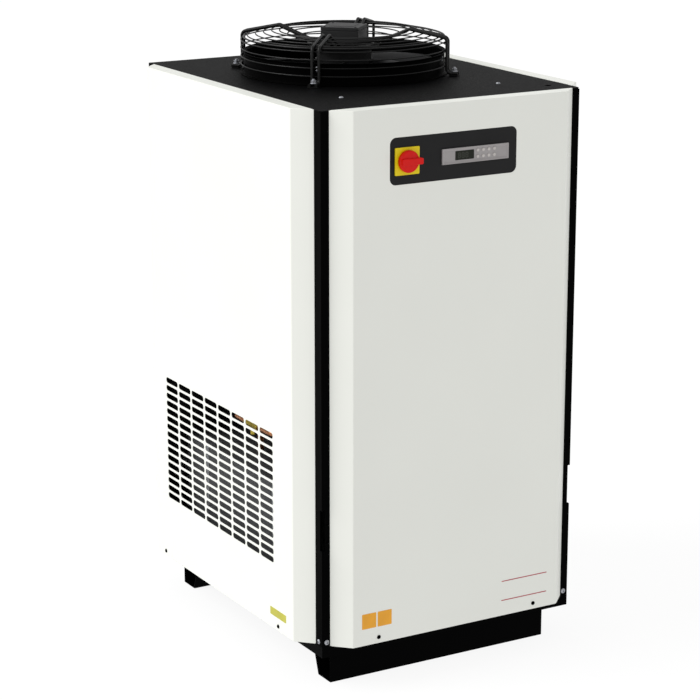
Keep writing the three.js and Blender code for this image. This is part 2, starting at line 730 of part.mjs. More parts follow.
// ---- refrigerant and air circuits ----
const coilGroup = new THREE.Group();
coilGroup.position.y = FAN_Y;
assembly.add(coilGroup);
const { halfX: coilX, halfY: coilY, bottom: coilBottom, top: coilTop } = COIL;
add("condenser_coil", join(
  box(-coilX, coilX, -coilY, coilY, coilBottom + 3, coilTop - 3),
  box(-coilX, -coilX + SKIN, -coilY - 8, coilY + 8, coilBottom, coilTop),
  box(coilX - SKIN, coilX, -coilY - 8, coilY + 8, coilBottom, coilTop),
), FINISH.aluminium, coilGroup);
const plenumX = coilX + 4;
const plenumY = coilY + 6;
add("fan_plenum", prism(
  [[-plenumX, -plenumY], [plenumX, -plenumY], [plenumX, plenumY], [-plenumX, plenumY]],
  coilTop + GAP, PLATE_TOP - SHEET - GAP,
  [[
    [-plenumX + SKIN, -plenumY + SKIN],
    [-plenumX + SKIN, plenumY - SKIN],
    [plenumX - SKIN, plenumY - SKIN],
    [plenumX - SKIN, -plenumY + SKIN],
  ]],
), FINISH.steel, coilGroup);

// A hermetic compressor on a square foot, which stands on a low hat-section base.
function compressor() {
  const { radius, bottom, top } = COMPRESSOR;
  const shell = turned([
    [0, bottom],
    [radius - 35, bottom],
    [radius, bottom + 35],
    [radius, top - 60],
    [radius - 12, top - 25],
    [radius - 45, top],
    [0, top],
  ], 20);
  const foot = box(-radius - 5, radius + 5, -radius - 5, radius + 5, bottom - 5, bottom + 1);
  return join(shell, foot);
}
add("compressor", compressor(), FINISH.black).position.set(COMPRESSOR.x, COMPRESSOR.y, 0);
const baseTop = COMPRESSOR.bottom - 5 - GAP;
add("compressor_base", join(
  box(-105, 105, -105, -65, FLOOR + GAP, baseTop),
  box(-105, 105, 65, 105, FLOOR + GAP, baseTop),
  box(-20, 20, -105, 105, FLOOR + GAP, FLOOR + GAP + 6),
), FINISH.steel).position.set(COMPRESSOR.x, COMPRESSOR.y, 0);

const { x0, x1, y0, y1, top: exchangerTop } = EXCHANGER;
add("heat_exchanger_module", box(x0, x1, y0, y1, FLOOR + GAP, exchangerTop), FINISH.foam);

const RECEIVER = { x: 250, y: -150, radius: 50, top: 330 };
add("liquid_receiver", turned([
  [0, FLOOR + GAP],
  [RECEIVER.radius - 18, FLOOR + GAP],
  [RECEIVER.radius, FLOOR + 18],
  [RECEIVER.radius, RECEIVER.top - 14],
  [RECEIVER.radius - 8, RECEIVER.top],
  [0, RECEIVER.top],
], 16), FINISH.black).position.set(RECEIVER.x, RECEIVER.y, 0);
// The filter drier lies in the liquid line, from the receiver to the exchanger.
const lineEnd = RECEIVER.x - RECEIVER.radius - GAP;
const lineStart = x1 + GAP;
const LINE = 5;
const drier = turned([
  [0, lineStart],
  [LINE, lineStart],
  [LINE, 50],
  [26, 66],
  [26, 160],
  [LINE, 176],
  [LINE, lineEnd],
  [0, lineEnd],
], 16);
add("filter_drier", drier.rotateY(Math.PI / 2), FINISH.copper).position.set(0, RECEIVER.y, 200);

const compressorLid = COMPRESSOR.top + GAP;
const coilEnd = coilX + GAP;
add("discharge_pipe", pipe([
  [COMPRESSOR.x + 30, COMPRESSOR.y, compressorLid],
  [COMPRESSOR.x + 30, COMPRESSOR.y, 700],
  [305, COMPRESSOR.y, 700],
  [305, COMPRESSOR.y, 1308],
  [coilEnd, COMPRESSOR.y, 1308],
], 8, 30, 8, 16), FINISH.copper);
add("liquid_pipe", pipe([
  [coilEnd, -20, 1290],
  [320, -20, 1290],
  [320, -20, 520],
  [320, RECEIVER.y, 520],
  [RECEIVER.x - 15, RECEIVER.y, 520],
  [RECEIVER.x - 15, RECEIVER.y, RECEIVER.top + GAP],
], 6, 30, 6, 20), FINISH.copper);
add("suction_pipe", pipe([
  [-150, COMPRESSOR.y, exchangerTop + GAP],
  [-150, COMPRESSOR.y, 620],
  [COMPRESSOR.x - 30, COMPRESSOR.y, 620],
  [COMPRESSOR.x - 30, COMPRESSOR.y, compressorLid],
], 10, 40, 8, 12), FINISH.copper);

// The hot-gas bypass rises from the exchanger on two legs and runs out to its valve.
const BYPASS = { x: -315, legX: -240, z: 557, rear: 65, front: -150, valve: -42, valveHalf: 34 };
for (const [name, leg, side] of [
  ["hot_gas_pipe_rear", BYPASS.rear, 1],
  ["hot_gas_pipe_front", BYPASS.front, -1],
]) {
  add(name, pipe([
    [BYPASS.legX, leg, exchangerTop + GAP],
    [BYPASS.legX, leg, BYPASS.z],
    [BYPASS.x, leg, BYPASS.z],
    [BYPASS.x, BYPASS.valve + side * (BYPASS.valveHalf + GAP), BYPASS.z],
  ], 8, 25, 8, 16), FINISH.copper);
}
add("hot_gas_valve", join(
  bar(13, -BYPASS.valveHalf, BYPASS.valveHalf, 6, "y"),
  bar(17, 0, 42, 16),
  bar(9, -26, 0, 12),
), FINISH.brass).position.set(BYPASS.x, BYPASS.valve, BYPASS.z);

// The air pipes run from the exchanger out through the rear panel, where they are threaded.
function airPipe() {
  const { bore, radius } = AIR_PIPES;
  const collar = REAR_SHEET + REAR_DEPTH + GAP;
  return turned([
    [0, y1 + GAP],
    [radius, y1 + GAP],
    [radius, collar],
    [radius + 10, collar],
    [radius + 10, collar + 8],
    [radius, collar + 8],
    [radius, HALF_DEPTH],
    [bore, HALF_DEPTH],
    [bore, y1 + 12],
    [0, y1 + 12],
  ], 16).rotateX(-Math.PI / 2);
}
add("air_inlet_pipe", airPipe(), FINISH.steel).position.set(AIR_PIPES.inletX, 0, AIR_PIPES.z);
add("air_outlet_pipe", airPipe(), FINISH.steel).position.set(AIR_PIPES.outletX, 0, AIR_PIPES.z);

// ---- condensate drain ----
const DRAIN_VALVE = { x: -190, z: 140 };
add("drain_solenoid", join(
  box(-25, 25, -48, 0, -18, 18),
  bar(17, 10, 62, 16).translate(0, -24, 0),
), FINISH.brass).position.set(DRAIN_VALVE.x, y0 - GAP, DRAIN_VALVE.z);
add("drain_pipe", pipe([
  [DRAIN_VALVE.x + 25 + GAP, y0 - 24, DRAIN_VALVE.z],
  [DRAIN.x, y0 - 24, DRAIN_VALVE.z],
  [DRAIN.x, -200, DRAIN.z],
  [DRAIN.x, REAR_SHEET + 3, DRAIN.z],
], 5, 20, 6, 16), FINISH.copper);

// A ball valve ends the drain behind the cabinet; its lever turns a quarter from across the valve.
const VALVE_START = REAR_SHEET + 3 + GAP;
const LEVER_Y = 488;
add("drain_ball_valve", join(
  bar(8, VALVE_START, 475, 12, "y"),
  bar(13, 474, 502, 12, "y"),
  bar(9, 501, 512, 12, "y"),
  bar(6, 0, 15, 12).translate(0, LEVER_Y, 0),
), FINISH.brass).position.set(DRAIN.x, 0, DRAIN.z);
add("drain_lever", join(
  bar(8, 0, 4, 12),
  box(-62, 0, -5, 5, 0.5, 3.5),
  box(-62, -20, -7, 7, -1.5, 5.5),
), FINISH.red).position.set(DRAIN.x, LEVER_Y, DRAIN.z + 15 + GAP);

// The supply cable's gland in the rear panel.
add("cable_gland", join(
  bar(10, REAR_SHEET - 8, REAR_SHEET + REAR_DEPTH + 4, 16, "y"),
  bar(15, REAR_SHEET + REAR_DEPTH + GAP, REAR_SHEET + REAR_DEPTH + 9, 6, "y"),
  bar(11.5, REAR_SHEET + REAR_DEPTH + 8, REAR_SHEET + REAR_DEPTH + 26, 16, "y"),
), FINISH.plastic).position.set(CABLE_ENTRY.x, 0, CABLE_ENTRY.z);

export default assembly;
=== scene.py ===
"""Looks for the refrigerated air dryer: fine meshes, procedural materials, light and camera.

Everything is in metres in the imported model's frame: +Z up, the front faces -Y.
"""

import math

import bmesh
import bpy
from mathutils import Matrix, Vector
from mathutils.geometry import tessellate_polygon


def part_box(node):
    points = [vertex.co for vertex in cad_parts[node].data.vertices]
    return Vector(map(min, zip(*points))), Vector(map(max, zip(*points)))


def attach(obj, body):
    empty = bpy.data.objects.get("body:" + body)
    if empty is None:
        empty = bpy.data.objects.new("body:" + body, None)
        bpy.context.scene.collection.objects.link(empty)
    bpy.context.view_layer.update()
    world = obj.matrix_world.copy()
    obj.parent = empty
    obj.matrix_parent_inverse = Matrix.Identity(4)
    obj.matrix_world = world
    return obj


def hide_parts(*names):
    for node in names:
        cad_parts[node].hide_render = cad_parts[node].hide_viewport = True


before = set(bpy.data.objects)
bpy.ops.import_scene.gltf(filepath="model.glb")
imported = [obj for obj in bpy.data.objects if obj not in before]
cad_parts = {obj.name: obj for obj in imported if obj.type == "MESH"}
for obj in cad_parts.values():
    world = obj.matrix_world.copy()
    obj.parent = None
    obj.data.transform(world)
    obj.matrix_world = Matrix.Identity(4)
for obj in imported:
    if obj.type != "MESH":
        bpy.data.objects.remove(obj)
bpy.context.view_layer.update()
CABINET = "cabinet"
GAP = 0.0003  # between pieces that touch


# ---- materials
MATERIALS = {}


def fill(node, values):
    """Sets a node's sockets. Their names may have _ for a space."""
    for socket, value in values.items():
        node.inputs[socket.replace("_", " ")].default_value = value


class Shader:
    """A Principled material, kept under its name, with a few procedural nodes in front of it."""

    def __init__(self, name, color, roughness, metallic=0.0, **sockets):
        self.material = MATERIALS[name] = bpy.data.materials.new(name)
        self.material.use_nodes = True
        self.nodes = self.material.node_tree.nodes
        self.links = self.material.node_tree.links
        self.main = self.nodes["Principled BSDF"]
        self.color = (*color, 1.0)
        fill(self.main, {"Base Color": self.color, "Roughness": roughness,
                         "Metallic": metallic, **sockets})
        self.place = self.nodes.new("ShaderNodeTexCoord").outputs["Object"]

    def add(self, kind, source, into, **values):
        """A new node with a link into one socket and values in others. Gives its first output."""
        node = self.nodes.new("ShaderNode" + kind)
        self.links.new(source, node.inputs[into])
        fill(node, values)
        return node.outputs[0]

    def noise(self, scale, detail=3.0, stretch=None):
        place = self.place
        if stretch:
            place = self.add("Mapping", place, "Vector", Scale=stretch)
        return self.add("TexNoise", place, "Vector", Scale=scale, Detail=detail)

    def cells(self, scale):
        return self.add("TexVoronoi", self.place, "Vector", Scale=scale)

    def ranged(self, value, low, high, start=0.3, end=0.7):
        return self.add("MapRange", value, "Value", From_Min=start, From_Max=end, To_Min=low,
                        To_Max=high)

    def tint(self, value, other, start=0.3, end=0.7):
        """The colour runs from its own to another one as the value rises."""
        mix = self.nodes.new("ShaderNodeMix")
        mix.data_type = "RGBA"
        mix.inputs["A"].default_value = self.color
        mix.inputs["B"].default_value = (*other, 1.0)
        self.links.new(self.ranged(value, 0.0, 1.0, start, end), mix.inputs["Factor"])
        self.links.new(mix.outputs["Result"], self.main.inputs["Base Color"])

    def gloss(self, value, low, high):
        self.links.new(self.ranged(value, low, high), self.main.inputs["Roughness"])

    def bump(self, value, depth, strength=1.0):
        normal = self.main.inputs["Normal"]
        previous = normal.links[0].from_socket if normal.is_linked else None
        raised = self.add("Bump", value, "Height", Strength=strength, Distance=depth)
        if previous:
            self.links.new(previous, raised.node.inputs["Normal"])
        self.links.new(raised, normal)


def shade(color, factor):
    return tuple(min(1.0, c * factor) for c in color)


def powder_coat(name, color, roughness, peel, depth, spread=0.05, **sockets):
    """Paint with a fine orange peel and a faint cloudiness."""
    coat = Shader(name, color, roughness, **sockets)
    coat.tint(coat.noise(3.5), shade(color, 1.0 - spread))
    coat.gloss(coat.noise(peel * 0.3), roughness - 0.06, roughness + 0.08)
    coat.bump(coat.noise(peel, 2.0), depth)


def moulded(name, color, roughness, grain, depth, other=None, **sockets):
    """Plastic with a spark-eroded grain."""
    plastic = Shader(name, color, roughness, **sockets)
    plastic.tint(plastic.noise(22.0), other or shade(color, 0.86))
    plastic.gloss(plastic.noise(grain * 0.5), roughness - 0.08, roughness + 0.08)
    plastic.bump(plastic.noise(grain, 2.0), depth)


def bare_metal(name, color, roughness, brushed, other, depth=0.00001):
    """Drawn or machined metal with fine marks along its work and a light tarnish."""
    metal = Shader(name, color, roughness, metallic=1.0)
    metal.tint(metal.noise(30.0, 5.0), other)
    metal.gloss(metal.noise(60.0, 6.0), roughness - 0.1, roughness + 0.14)
    metal.bump(metal.noise(500.0, 2.0, stretch=brushed), depth)


def galvanised(name, color):
    """Zinc spangle: flat crystals a few millimetres across, each a slightly different grey."""
    zinc = Shader(name, color, 0.42, metallic=0.85)
    spangle = zinc.cells(140.0)
    zinc.tint(spangle, shade(color, 0.72), 0.1, 0.8)
    zinc.gloss(zinc.noise(90.0, 4.0), 0.34, 0.52)
    zinc.bump(spangle, 0.00002)


def foam(name, color):
    """Closed-cell insulation, with a skin that is slightly dimpled. The same dimpled texture goes
    on the near-black painted shade inside the cabinet.
    """
    sheet = Shader(name, color, 0.82)
    sheet.tint(sheet.noise(14.0, 5.0), shade(color, 0.8))
    sheet.bump(sheet.cells(420.0), 0.0005, 0.7)
    sheet.bump(sheet.noise(35.0, 3.0), 0.0015, 0.5)


powder_coat("white_paint", (0.79, 0.80, 0.75), 0.42, 900.0, 0.00005, 0.02)
powder_coat(
    "black_paint", (0.0006, 0.0006, 0.00064), 0.48, 800.0, 0.00006, 0.3,
    Specular_IOR_Level=0.015)
powder_coat(
    "plate_paint", (0.0018, 0.0018, 0.0019), 0.55, 1100.0, 0.0001, 0.2,
    Specular_IOR_Level=0.035)
powder_coat(
    "wire_coating", (0.004, 0.004, 0.004), 0.4, 700.0, 0.00006, 0.3, Specular_IOR_Level=0.25)
moulded("black_plastic", (0.0095, 0.0095, 0.010), 0.5, 1500.0, 0.00008, Specular_IOR_Level=0.17)
moulded("box_plastic", (0.017, 0.017, 0.0175), 0.5, 1500.0, 0.00008, Specular_IOR_Level=0.25)
bare_metal("zinc", (0.46, 0.47, 0.49), 0.42, (1, 1, 0.2), (0.30, 0.31, 0.34))
moulded("yellow_plastic", (0.79, 0.63, 0.004), 0.38, 1600.0, 0.00003, Specular_IOR_Level=0.25)
moulded("red_plastic", (0.69, 0.004, 0.002), 0.34, 1400.0, 0.00003, Specular_IOR_Level=0.2)
moulded("silver_plastic", (0.33, 0.31, 0.31), 0.38, 2200.0, 0.00003)
moulded("display_lens", (0.011, 0.013, 0.008), 0.16, 30.0, 0.00001, Specular_IOR_Level=0.15)
moulded("display_segment", (0.055, 0.06, 0.045), 0.3, 30.0, 0.00001)
moulded("key_plastic", (0.52, 0.49, 0.47), 0.5, 1800.0, 0.00003)
bare_metal("coil_aluminium", (0.62, 0.63, 0.64), 0.4, (1, 0.05, 1), (0.5, 0.5, 0.5))
galvanised("galvanised_steel", (0.5, 0.52, 0.54))
foam("insulation_foam", (0.075, 0.077, 0.08))
# Near-black painted shade for the panels' inner faces and a sheet inside the rear panel: it stands
# in for the dark inside of the cabinet.
foam("inner_shade_paint", (0.010, 0.010, 0.011))
bare_metal("copper", (0.72, 0.33, 0.16), 0.32, (1, 1, 0.1), (0.40, 0.17, 0.08))
bare_metal("brass", (0.74, 0.60, 0.10), 0.3, (1, 1, 0.2), (0.5, 0.38, 0.06))
moulded("rubber", (0.012, 0.012, 0.012), 0.75, 900.0, 0.0001)
moulded("orange_sticker", (0.84, 0.37, 0.006), 0.4, 300.0, 0.00002)
moulded("yellow_sticker", (0.49, 0.465, 0.030), 0.4, 300.0, 0.00002)
moulded("red_ink", (0.42, 0.008, 0.03), 0.4, 300.0, 0.00001)


# ---- shapes
# A shape is a pair: its points and its faces. Pieces are made from shapes.
def fillet(points, radius, steps=5, closed=False):
    """The same line with each corner replaced by an arc."""
    points = [Vector(p) for p in points]
    out = []
    for i, corner in enumerate(points):
        if not closed and i in (0, len(points) - 1):
            out.append(corner)
            continue
        before = points[i - 1] - corner
        after = points[(i + 1) % len(points)] - corner
        half = before.angle(after, math.pi) / 2
        if half > math.pi / 2 - 0.02:
            out.append(corner)
            continue
        reach = min(radius / math.tan(half), before.length * 0.49, after.length * 0.49)
        start = corner + before.normalized() * reach
        end = corner + after.normalized() * reach
        weight = math.sin(half)
        for k in range(steps + 1):
            s = k / steps
            a, b, c = (1 - s) ** 2, 2 * weight * s * (1 - s), s * s
            out.append((start * a + corner * b + end * c) / (a + b + c))
    return out


def circle(radius, count=24, x=0.0, y=0.0):
    turns = [2 * math.pi * k / count for k in range(count)]
    return [Vector((x + radius * math.cos(t), y + radius * math.sin(t))) for t in turns]


def rectangle(x0, x1, y0, y1, radius=0.0, steps=5):
    corners = [(x0, y0), (x1, y0), (x1, y1), (x0, y1)]
    if radius:
        return fillet(corners, radius, steps, closed=True)
    return [Vector(c) for c in corners]


def face_of(low, high, inset, radius, steps=5):
    """The outline of a box in X and Z, drawn in by an inset."""
    return rectangle(low.x + inset, high.x - inset, low.z + inset, high.z - inset, radius, steps)


def lathe(profile, segments=64):
    """A body turned about Z. A profile that ends where it starts makes a ring."""
    profile = [Vector(p) for p in profile]
    ring = (profile[0] - profile[-1]).length < 1e-9
    if ring:
        profile = profile[:-1]
    points, rows = [], []
    for radius, height in profile:
        if radius < 1e-7:
            rows.append([len(points)] * segments)
            points.append(Vector((0, 0, height)))
        else:
            rows.append(list(range(len(points), len(points) + segments)))
            points += [v.to_3d() + Vector((0, 0, height)) for v in circle(radius, segments)]
    faces = []
    for i in range(len(rows) if ring else len(rows) - 1):
        a, b = rows[i], rows[(i + 1) % len(rows)]
        for k in range(segments):
            n = (k + 1) % segments
            face = dict.fromkeys((a[k], a[n], b[n], b[k]))
            if len(face) > 2:
                faces.append(tuple(face))
    return points, faces


def sweep(path, radius, sides=12, closed=False):
    """A round bar along a line of points."""
    path = [Vector(p) for p in path]
    count = len(path)
    points, faces = [], []
    previous = None
    for i, here in enumerate(path):
        behind = path[i - 1] if closed or i > 0 else here
        ahead = path[(i + 1) % count] if closed or i < count - 1 else here
        tangent = (ahead - behind).normalized()
        if previous is None:
            side = tangent.orthogonal().normalized()
            if closed:
                side = Vector((0, 0, 1))
        else:
            side = (previous - tangent * previous.dot(tangent)).normalized()
        previous = side
        other = tangent.cross(side)
        for v in circle(radius, sides):
            points.append(here + side * v.x + other * v.y)
    for i in range(count if closed else count - 1):
        a, b = i * sides, (i + 1) % count * sides
        for k in range(sides):
            n = (k + 1) % sides
            faces.append((a + k, a + n, b + n, b + k))
    if not closed:
        faces.append(tuple(range(sides)))
        faces.append(tuple(range((count - 1) * sides, count * sides)))
    return points, faces


def prism(outline, low, high, axis="z", holes=()):
    """An outline pushed along an axis. On "y" it is drawn in X and Z, on "x" in Y and Z."""
    loops = [[Vector(p) for p in loop] for loop in (outline, *holes)]
    flat = [p for loop in loops for p in loop]
    count = len(flat)
    turn = {
        "z": lambda p, w: Vector((p.x, p.y, w)),
        "y": lambda p, w: Vector((p.x, w, p.y)),
        "x": lambda p, w: Vector((w, p.x, p.y)),
    }[axis]
    points = [turn(p, low) for p in flat] + [turn(p, high) for p in flat]
    if holes:
        caps = tessellate_polygon([[p.to_3d() for p in loop] for loop in loops])
    else:
        caps = [tuple(range(count))]
    faces = [tuple(cap) for cap in caps]
    faces += [tuple(i + count for i in cap) for cap in caps]
    start = 0
    for loop in loops:
        for k in range(len(loop)):
            a, b = start + k, start + (k + 1) % len(loop)
            faces.append((a, b, b + count, a + count))
        start += len(loop)
    return points, faces


def block(low, high):
    return prism(rectangle(low[0], high[0], low[1], high[1]), low[2], high[2])


def moved(shape, matrix):
    return [matrix @ p for p in shape[0]], shape[1]


def shifted(shape, x=0.0, y=0.0, z=0.0):
    return moved(shape, Matrix.Translation((x, y, z)))


def turned(shape, degrees, axis="Z"):
    return moved(shape, Matrix.Rotation(math.radians(degrees), 4, axis))


def along_y(shape):
    """Turns a shape that stands along Z to lie along Y."""
    return turned(shape, -90, "X")


def merge(*shapes):
    points, faces = [], []
    for more_points, more_faces in shapes:
        faces += [tuple(i + len(points) for i in face) for face in more_faces]
        points += more_points
    return points, faces


def joined(name, shape):
    """A new mesh of a shape, and a working copy in which points that coincide are one."""
    mesh = bpy.data.meshes.new(name)
    mesh.from_pydata([tuple(p) for p in shape[0]], [], shape[1])
    work = bmesh.new()
    work.from_mesh(mesh)
    bmesh.ops.remove_doubles(work, verts=work.verts, dist=1e-7)
    return mesh, work


def piece(name, shape, material, nodes=(), body=CABINET, bevel=0.0, segments=2, angle=40):
    """A mesh object that rides on a body and stands for the CAD nodes named."""
    mesh, work = joined(name, shape)
    bmesh.ops.recalc_face_normals(work, faces=work.faces)
    work.to_mesh(mesh)
    work.free()
    return finished(bpy.data.objects.new(name, mesh), material, nodes, body, bevel, segments, angle)


def finished(thing, material, nodes, body, bevel, segments, angle):
    bpy.context.scene.collection.objects.link(thing)
    thing.data.materials.clear()
    thing.data.materials.append(MATERIALS[material])
    thing.data.shade_smooth()
    thing.data.set_sharp_from_angle(angle=math.radians(angle))
    if bevel:
        soften(thing, bevel, segments, angle)
    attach(thing, body)
    if nodes:
        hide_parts(*nodes)
    return thing


def soften(thing, width, segments=2, angle=40):
    edges = thing.modifiers.new("edges", "BEVEL")
    edges.width = width
    edges.segments = segments
    edges.limit_method = "ANGLE"
    edges.angle_limit = math.radians(angle)
    edges.harden_normals = True


def refined(node, material, bevel, segments=2, body=CABINET):
    """A CAD solid's own shape with clean flats and rounded edges."""
    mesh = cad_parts[node].data.copy()
    work = bmesh.new()
    work.from_mesh(mesh)
    bmesh.ops.remove_doubles(work, verts=work.verts, dist=1e-6)
    edges = [e for e in work.edges]
    bmesh.ops.dissolve_limit(work, angle_limit=math.radians(0.5), verts=work.verts, edges=edges)
    work.to_mesh(mesh)
    work.free()
    thing = bpy.data.objects.new(node + "_fine", mesh)
    return finished(thing, material, (node,), body, bevel, segments, 40)


def middle(node):
    low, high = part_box(node)
    return (low + high) / 2


# ---- screws
def button_head(radius, height, socket=0.45):
    """A domed screw head that stands along +Z, with a round socket sunk in it."""
    profile = [(radius, 0.0), (radius, height * 0.25)]
    profile += [
        (radius * math.cos(t), height * (0.25 + 0.75 * math.sin(t)))
        for t in (0.35, 0.7, 1.0)
    ]
    well = radius * socket
    profile += [(well, height), (well, height * 0.35), (0.0, height * 0.35)]
    return lathe([(0.0, 0.0), *profile], 24)


def screw(name, material, at, towards, radius=0.005, height=0.003):
    """A screw head on a surface at a point, facing along a direction."""
    turn = Vector(towards).to_track_quat("Z", "Y").to_matrix().to_4x4()
    shape = moved(button_head(radius, height), Matrix.Translation(at) @ turn)
    return piece(name, shape, material, angle=50)


# ---- folded panels
PLATE_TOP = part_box("top_plate")[1].z
SKIN = 0.0012
RETURN = 0.020
FACE_FOLD = 0.005
EDGE_FOLD = 0.0015
BACK_FOLD = 0.0022


def folded_panel(back_half, depth, low, top, holes=()):
    """The outer skin of a panel that faces -Y, with its back edges on y = 0.

    Its flat face lies between two bevels. The edges turn in behind them, and the top and bottom
    turn back in level flanges. Holes are loops in X and Z on the flat face.
    """
    face_half = back_half - depth
    ends = back_half - BACK_FOLD  # where the flanges end on the 45 degree bevels
    line = [(-ends, -BACK_FOLD), (-face_half, -depth), (face_half, -depth), (ends, -BACK_FOLD)]
    crest = fillet(line, FACE_FOLD, 6)
    tail = fillet([(ends, -BACK_FOLD), (back_half, 0), (back_half - RETURN, 0)], 0.0012, 4)
    points, faces = [], []

    def add(x, y, z):
        points.append(Vector((x, y, z)))
        return len(points) - 1

    def rolled(level, sign):
        """Rows of points that turn from the wall into a flange, outermost row first."""
        rows = []
        count = len(crest)
        for k in range(5):
            t = k / 4 * math.pi / 2
            row = []
            for i, here in enumerate(crest):
                if i in (0, count - 1):
                    inward = Vector((1 if i == 0 else -1, 0))
                else:
                    run = (crest[i + 1] - crest[i - 1]).normalized()
                    inward = Vector((-run.y, run.x))
                spot = here + inward * EDGE_FOLD * (1 - math.cos(t))
                row.append(add(spot.x, spot.y, level - sign * EDGE_FOLD * (1 - math.sin(t))))
            rows.append(row)
        for outer, inner in zip(rows, rows[1:]):
            for i in range(count - 1):
                faces.append((outer[i], outer[i + 1], inner[i + 1], inner[i]))
        faces.append(tuple(rows[-1]))
        return rows[0]

    upper = rolled(top, 1)
    lower = rolled(low, -1)
    flat = [i for i in range(len(crest) - 1) if (crest[i + 1] - crest[i]).length > face_half][0]
    for i in range(len(crest) - 1):
        if i != flat:
            faces.append((lower[i], lower[i + 1], upper[i + 1], upper[i]))
    corners = [lower[flat], lower[flat + 1], upper[flat + 1], upper[flat]]
    loops = [[points[i].xz.to_3d() for i in corners]]
    names = list(corners)
    for hole in holes:
        loops.append([Vector(p).to_3d() for p in hole])
        names += [add(p[0], -depth, p[1]) for p in hole]
    faces += [tuple(names[i] for i in face) for face in tessellate_polygon(loops)]
    for side in (-1, 1):
        row = None
        for i, here in enumerate(tail):
            start = lower[-1 if side > 0 else 0], upper[-1 if side > 0 else 0]
            spots = start if i == 0 else (
                add(side * here.x, here.y, low + EDGE_FOLD / 2),
                add(side * here.x, here.y, top - EDGE_FOLD / 2))
            if row:
                faces.append((*row, *reversed(spots)))
            row = spots
    return points, faces


def skin(name, node, shape, turn, shift):
    """Gives a panel's skin its thickness and soft edges, and sets it in place."""
    place = Matrix.Translation(shift) @ Matrix.Rotation(math.radians(turn), 4, "Z")
    mesh, work = joined(name, moved(shape, place))
    # The slots' edges line up, so filling round them leaves faces with no area.
    bmesh.ops.dissolve_degenerate(work, dist=1e-6, edges=work.edges)
    bmesh.ops.recalc_face_normals(work, faces=work.faces)
    outward = place.to_3x3() @ Vector((0, -1, 0))
    largest = max(work.faces, key=lambda f: f.calc_area())
    if largest.normal.dot(outward) < 0:
        bmesh.ops.reverse_faces(work, faces=work.faces)
    work.to_mesh(mesh)
    work.free()
    thing = finished(bpy.data.objects.new(name, mesh), "white_paint", (node,), CABINET, 0, 0, 50)
    # The inner faces get near-black painted shade that stands in for the dark inside of the
    # cabinet.
    thing.data.materials.append(MATERIALS["inner_shade_paint"])
    thick = thing.modifiers.new("thickness", "SOLIDIFY")
    thick.material_offset = 1
    thick.thickness = SKIN
    thick.offset = -1
    thick.use_even_offset = True
    soften(thing, 0.0004, 2, 60)
    flats = thing.modifiers.new("flats", "WEIGHTED_NORMAL")
    flats.weight = 100
    return thing


POST_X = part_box("post_front_right")[1].x
FRAME_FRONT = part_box("post_front_left")[0].y
FRAME_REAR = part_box("post_rear_left")[1].y
PANEL_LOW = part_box("front_panel")[0].z
PANEL_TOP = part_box("front_panel")[1].z
FRONT_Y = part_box("front_panel")[0].y
SIDE_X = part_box("right_panel")[1].x
FRONT_BACK_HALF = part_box("front_panel")[1].x
SIDE_MIDDLE = middle("left_panel").y
SIDE_BACK_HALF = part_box("left_panel")[1].y - SIDE_MIDDLE

BEZEL_LOW, BEZEL_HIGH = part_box("control_bezel")
RIM = 0.008  # the bezel's hidden rim behind the panel
window = face_of(BEZEL_LOW, BEZEL_HIGH, RIM, 0.016, 10)


def grille_slots(shift, columns=8, rows=16, across=0.0732, up=0.0208, mid=0.4468):
    """Rounded slots in a block on the lower half of a side panel, off its middle by a shift."""
    half_width, half_height = 0.03325, 0.00725
    slots = []
    for column in range(columns):
        for row in range(rows):
            x = (column - (columns - 1) / 2) * across + shift
            z = mid + (row - (rows - 1) / 2) * up
            slots.append(rectangle(x - half_width, x + half_width, z - half_height,
                                   z + half_height, half_height * 0.93, 6))
    return slots


skin("front_panel_skin", "front_panel",
     folded_panel(FRONT_BACK_HALF, FRAME_FRONT - FRONT_Y, PANEL_LOW, PANEL_TOP, [window]),
     0, (0, FRAME_FRONT, 0))
for side, label in ((-1, "left"), (1, "right")):
    skin(f"{label}_panel_skin", f"{label}_panel",
         folded_panel(SIDE_BACK_HALF, SIDE_X - POST_X, PANEL_LOW, PANEL_TOP,
                      grille_slots(-side * SIDE_MIDDLE)),
         side * 90, (side * POST_X, SIDE_MIDDLE, 0))

refined("rear_panel", "white_paint", 0.0015)
# A near-black sheet of painted shade just inside the rear panel, with holes for its connections,
# darkens the cabinet's inside.
shade_sheet_holes = [circle(radius, count, middle(node).x, middle(node).z) for node, radius, count in (
    ("air_inlet_pipe", 0.033, 40), ("air_outlet_pipe", 0.033, 40),
    ("drain_ball_valve", 0.016, 32), ("cable_gland", 0.016, 32))]
rear_low, rear_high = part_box("rear_panel")
piece("rear_shade_sheet", prism(face_of(rear_low, rear_high, 0.006, 0.004), rear_high.y - 0.0065,
                          rear_high.y - 0.0022, "y", shade_sheet_holes), "inner_shade_paint")
for corner in ("front_left", "front_right", "rear_left", "rear_right"):
    refined(f"post_{corner}", "black_paint", 0.0012, 3)
for node, material, bevel in (
        ("top_plate", "plate_paint", 0.0008), ("base_tray", "black_paint", 0.001),
        ("front_skid", "black_paint", 0.0015), ("rear_skid", "black_paint", 0.0015)):
    refined(node, material, bevel)

# Panel screws: black button heads low on the front and side panels, and round the rear panel.
SCREW_HEIGHT = 0.1300
for i, x in enumerate((-0.2225, 0.2225)):
    screw(f"front_panel_screw_{i + 1}", "black_paint", (x, FRONT_Y, SCREW_HEIGHT), (0, -1, 0))
for side, label in ((-1, "left"), (1, "right")):
    for i, y in enumerate((-0.3105, 0.3105)):
        screw(f"{label}_panel_screw_{i + 1}", "black_paint",
              (side * SIDE_X, y, SCREW_HEIGHT - 0.0026), (side, 0, 0))
REAR_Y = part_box("rear_panel")[1].y
for i, (x, z) in enumerate((x, z) for x in (-0.325, 0.325) for z in (0.15, 0.75, 1.345)):
    screw(f"rear_panel_screw_{i + 1}", "black_paint", (x, REAR_Y, z), (0, 1, 0))

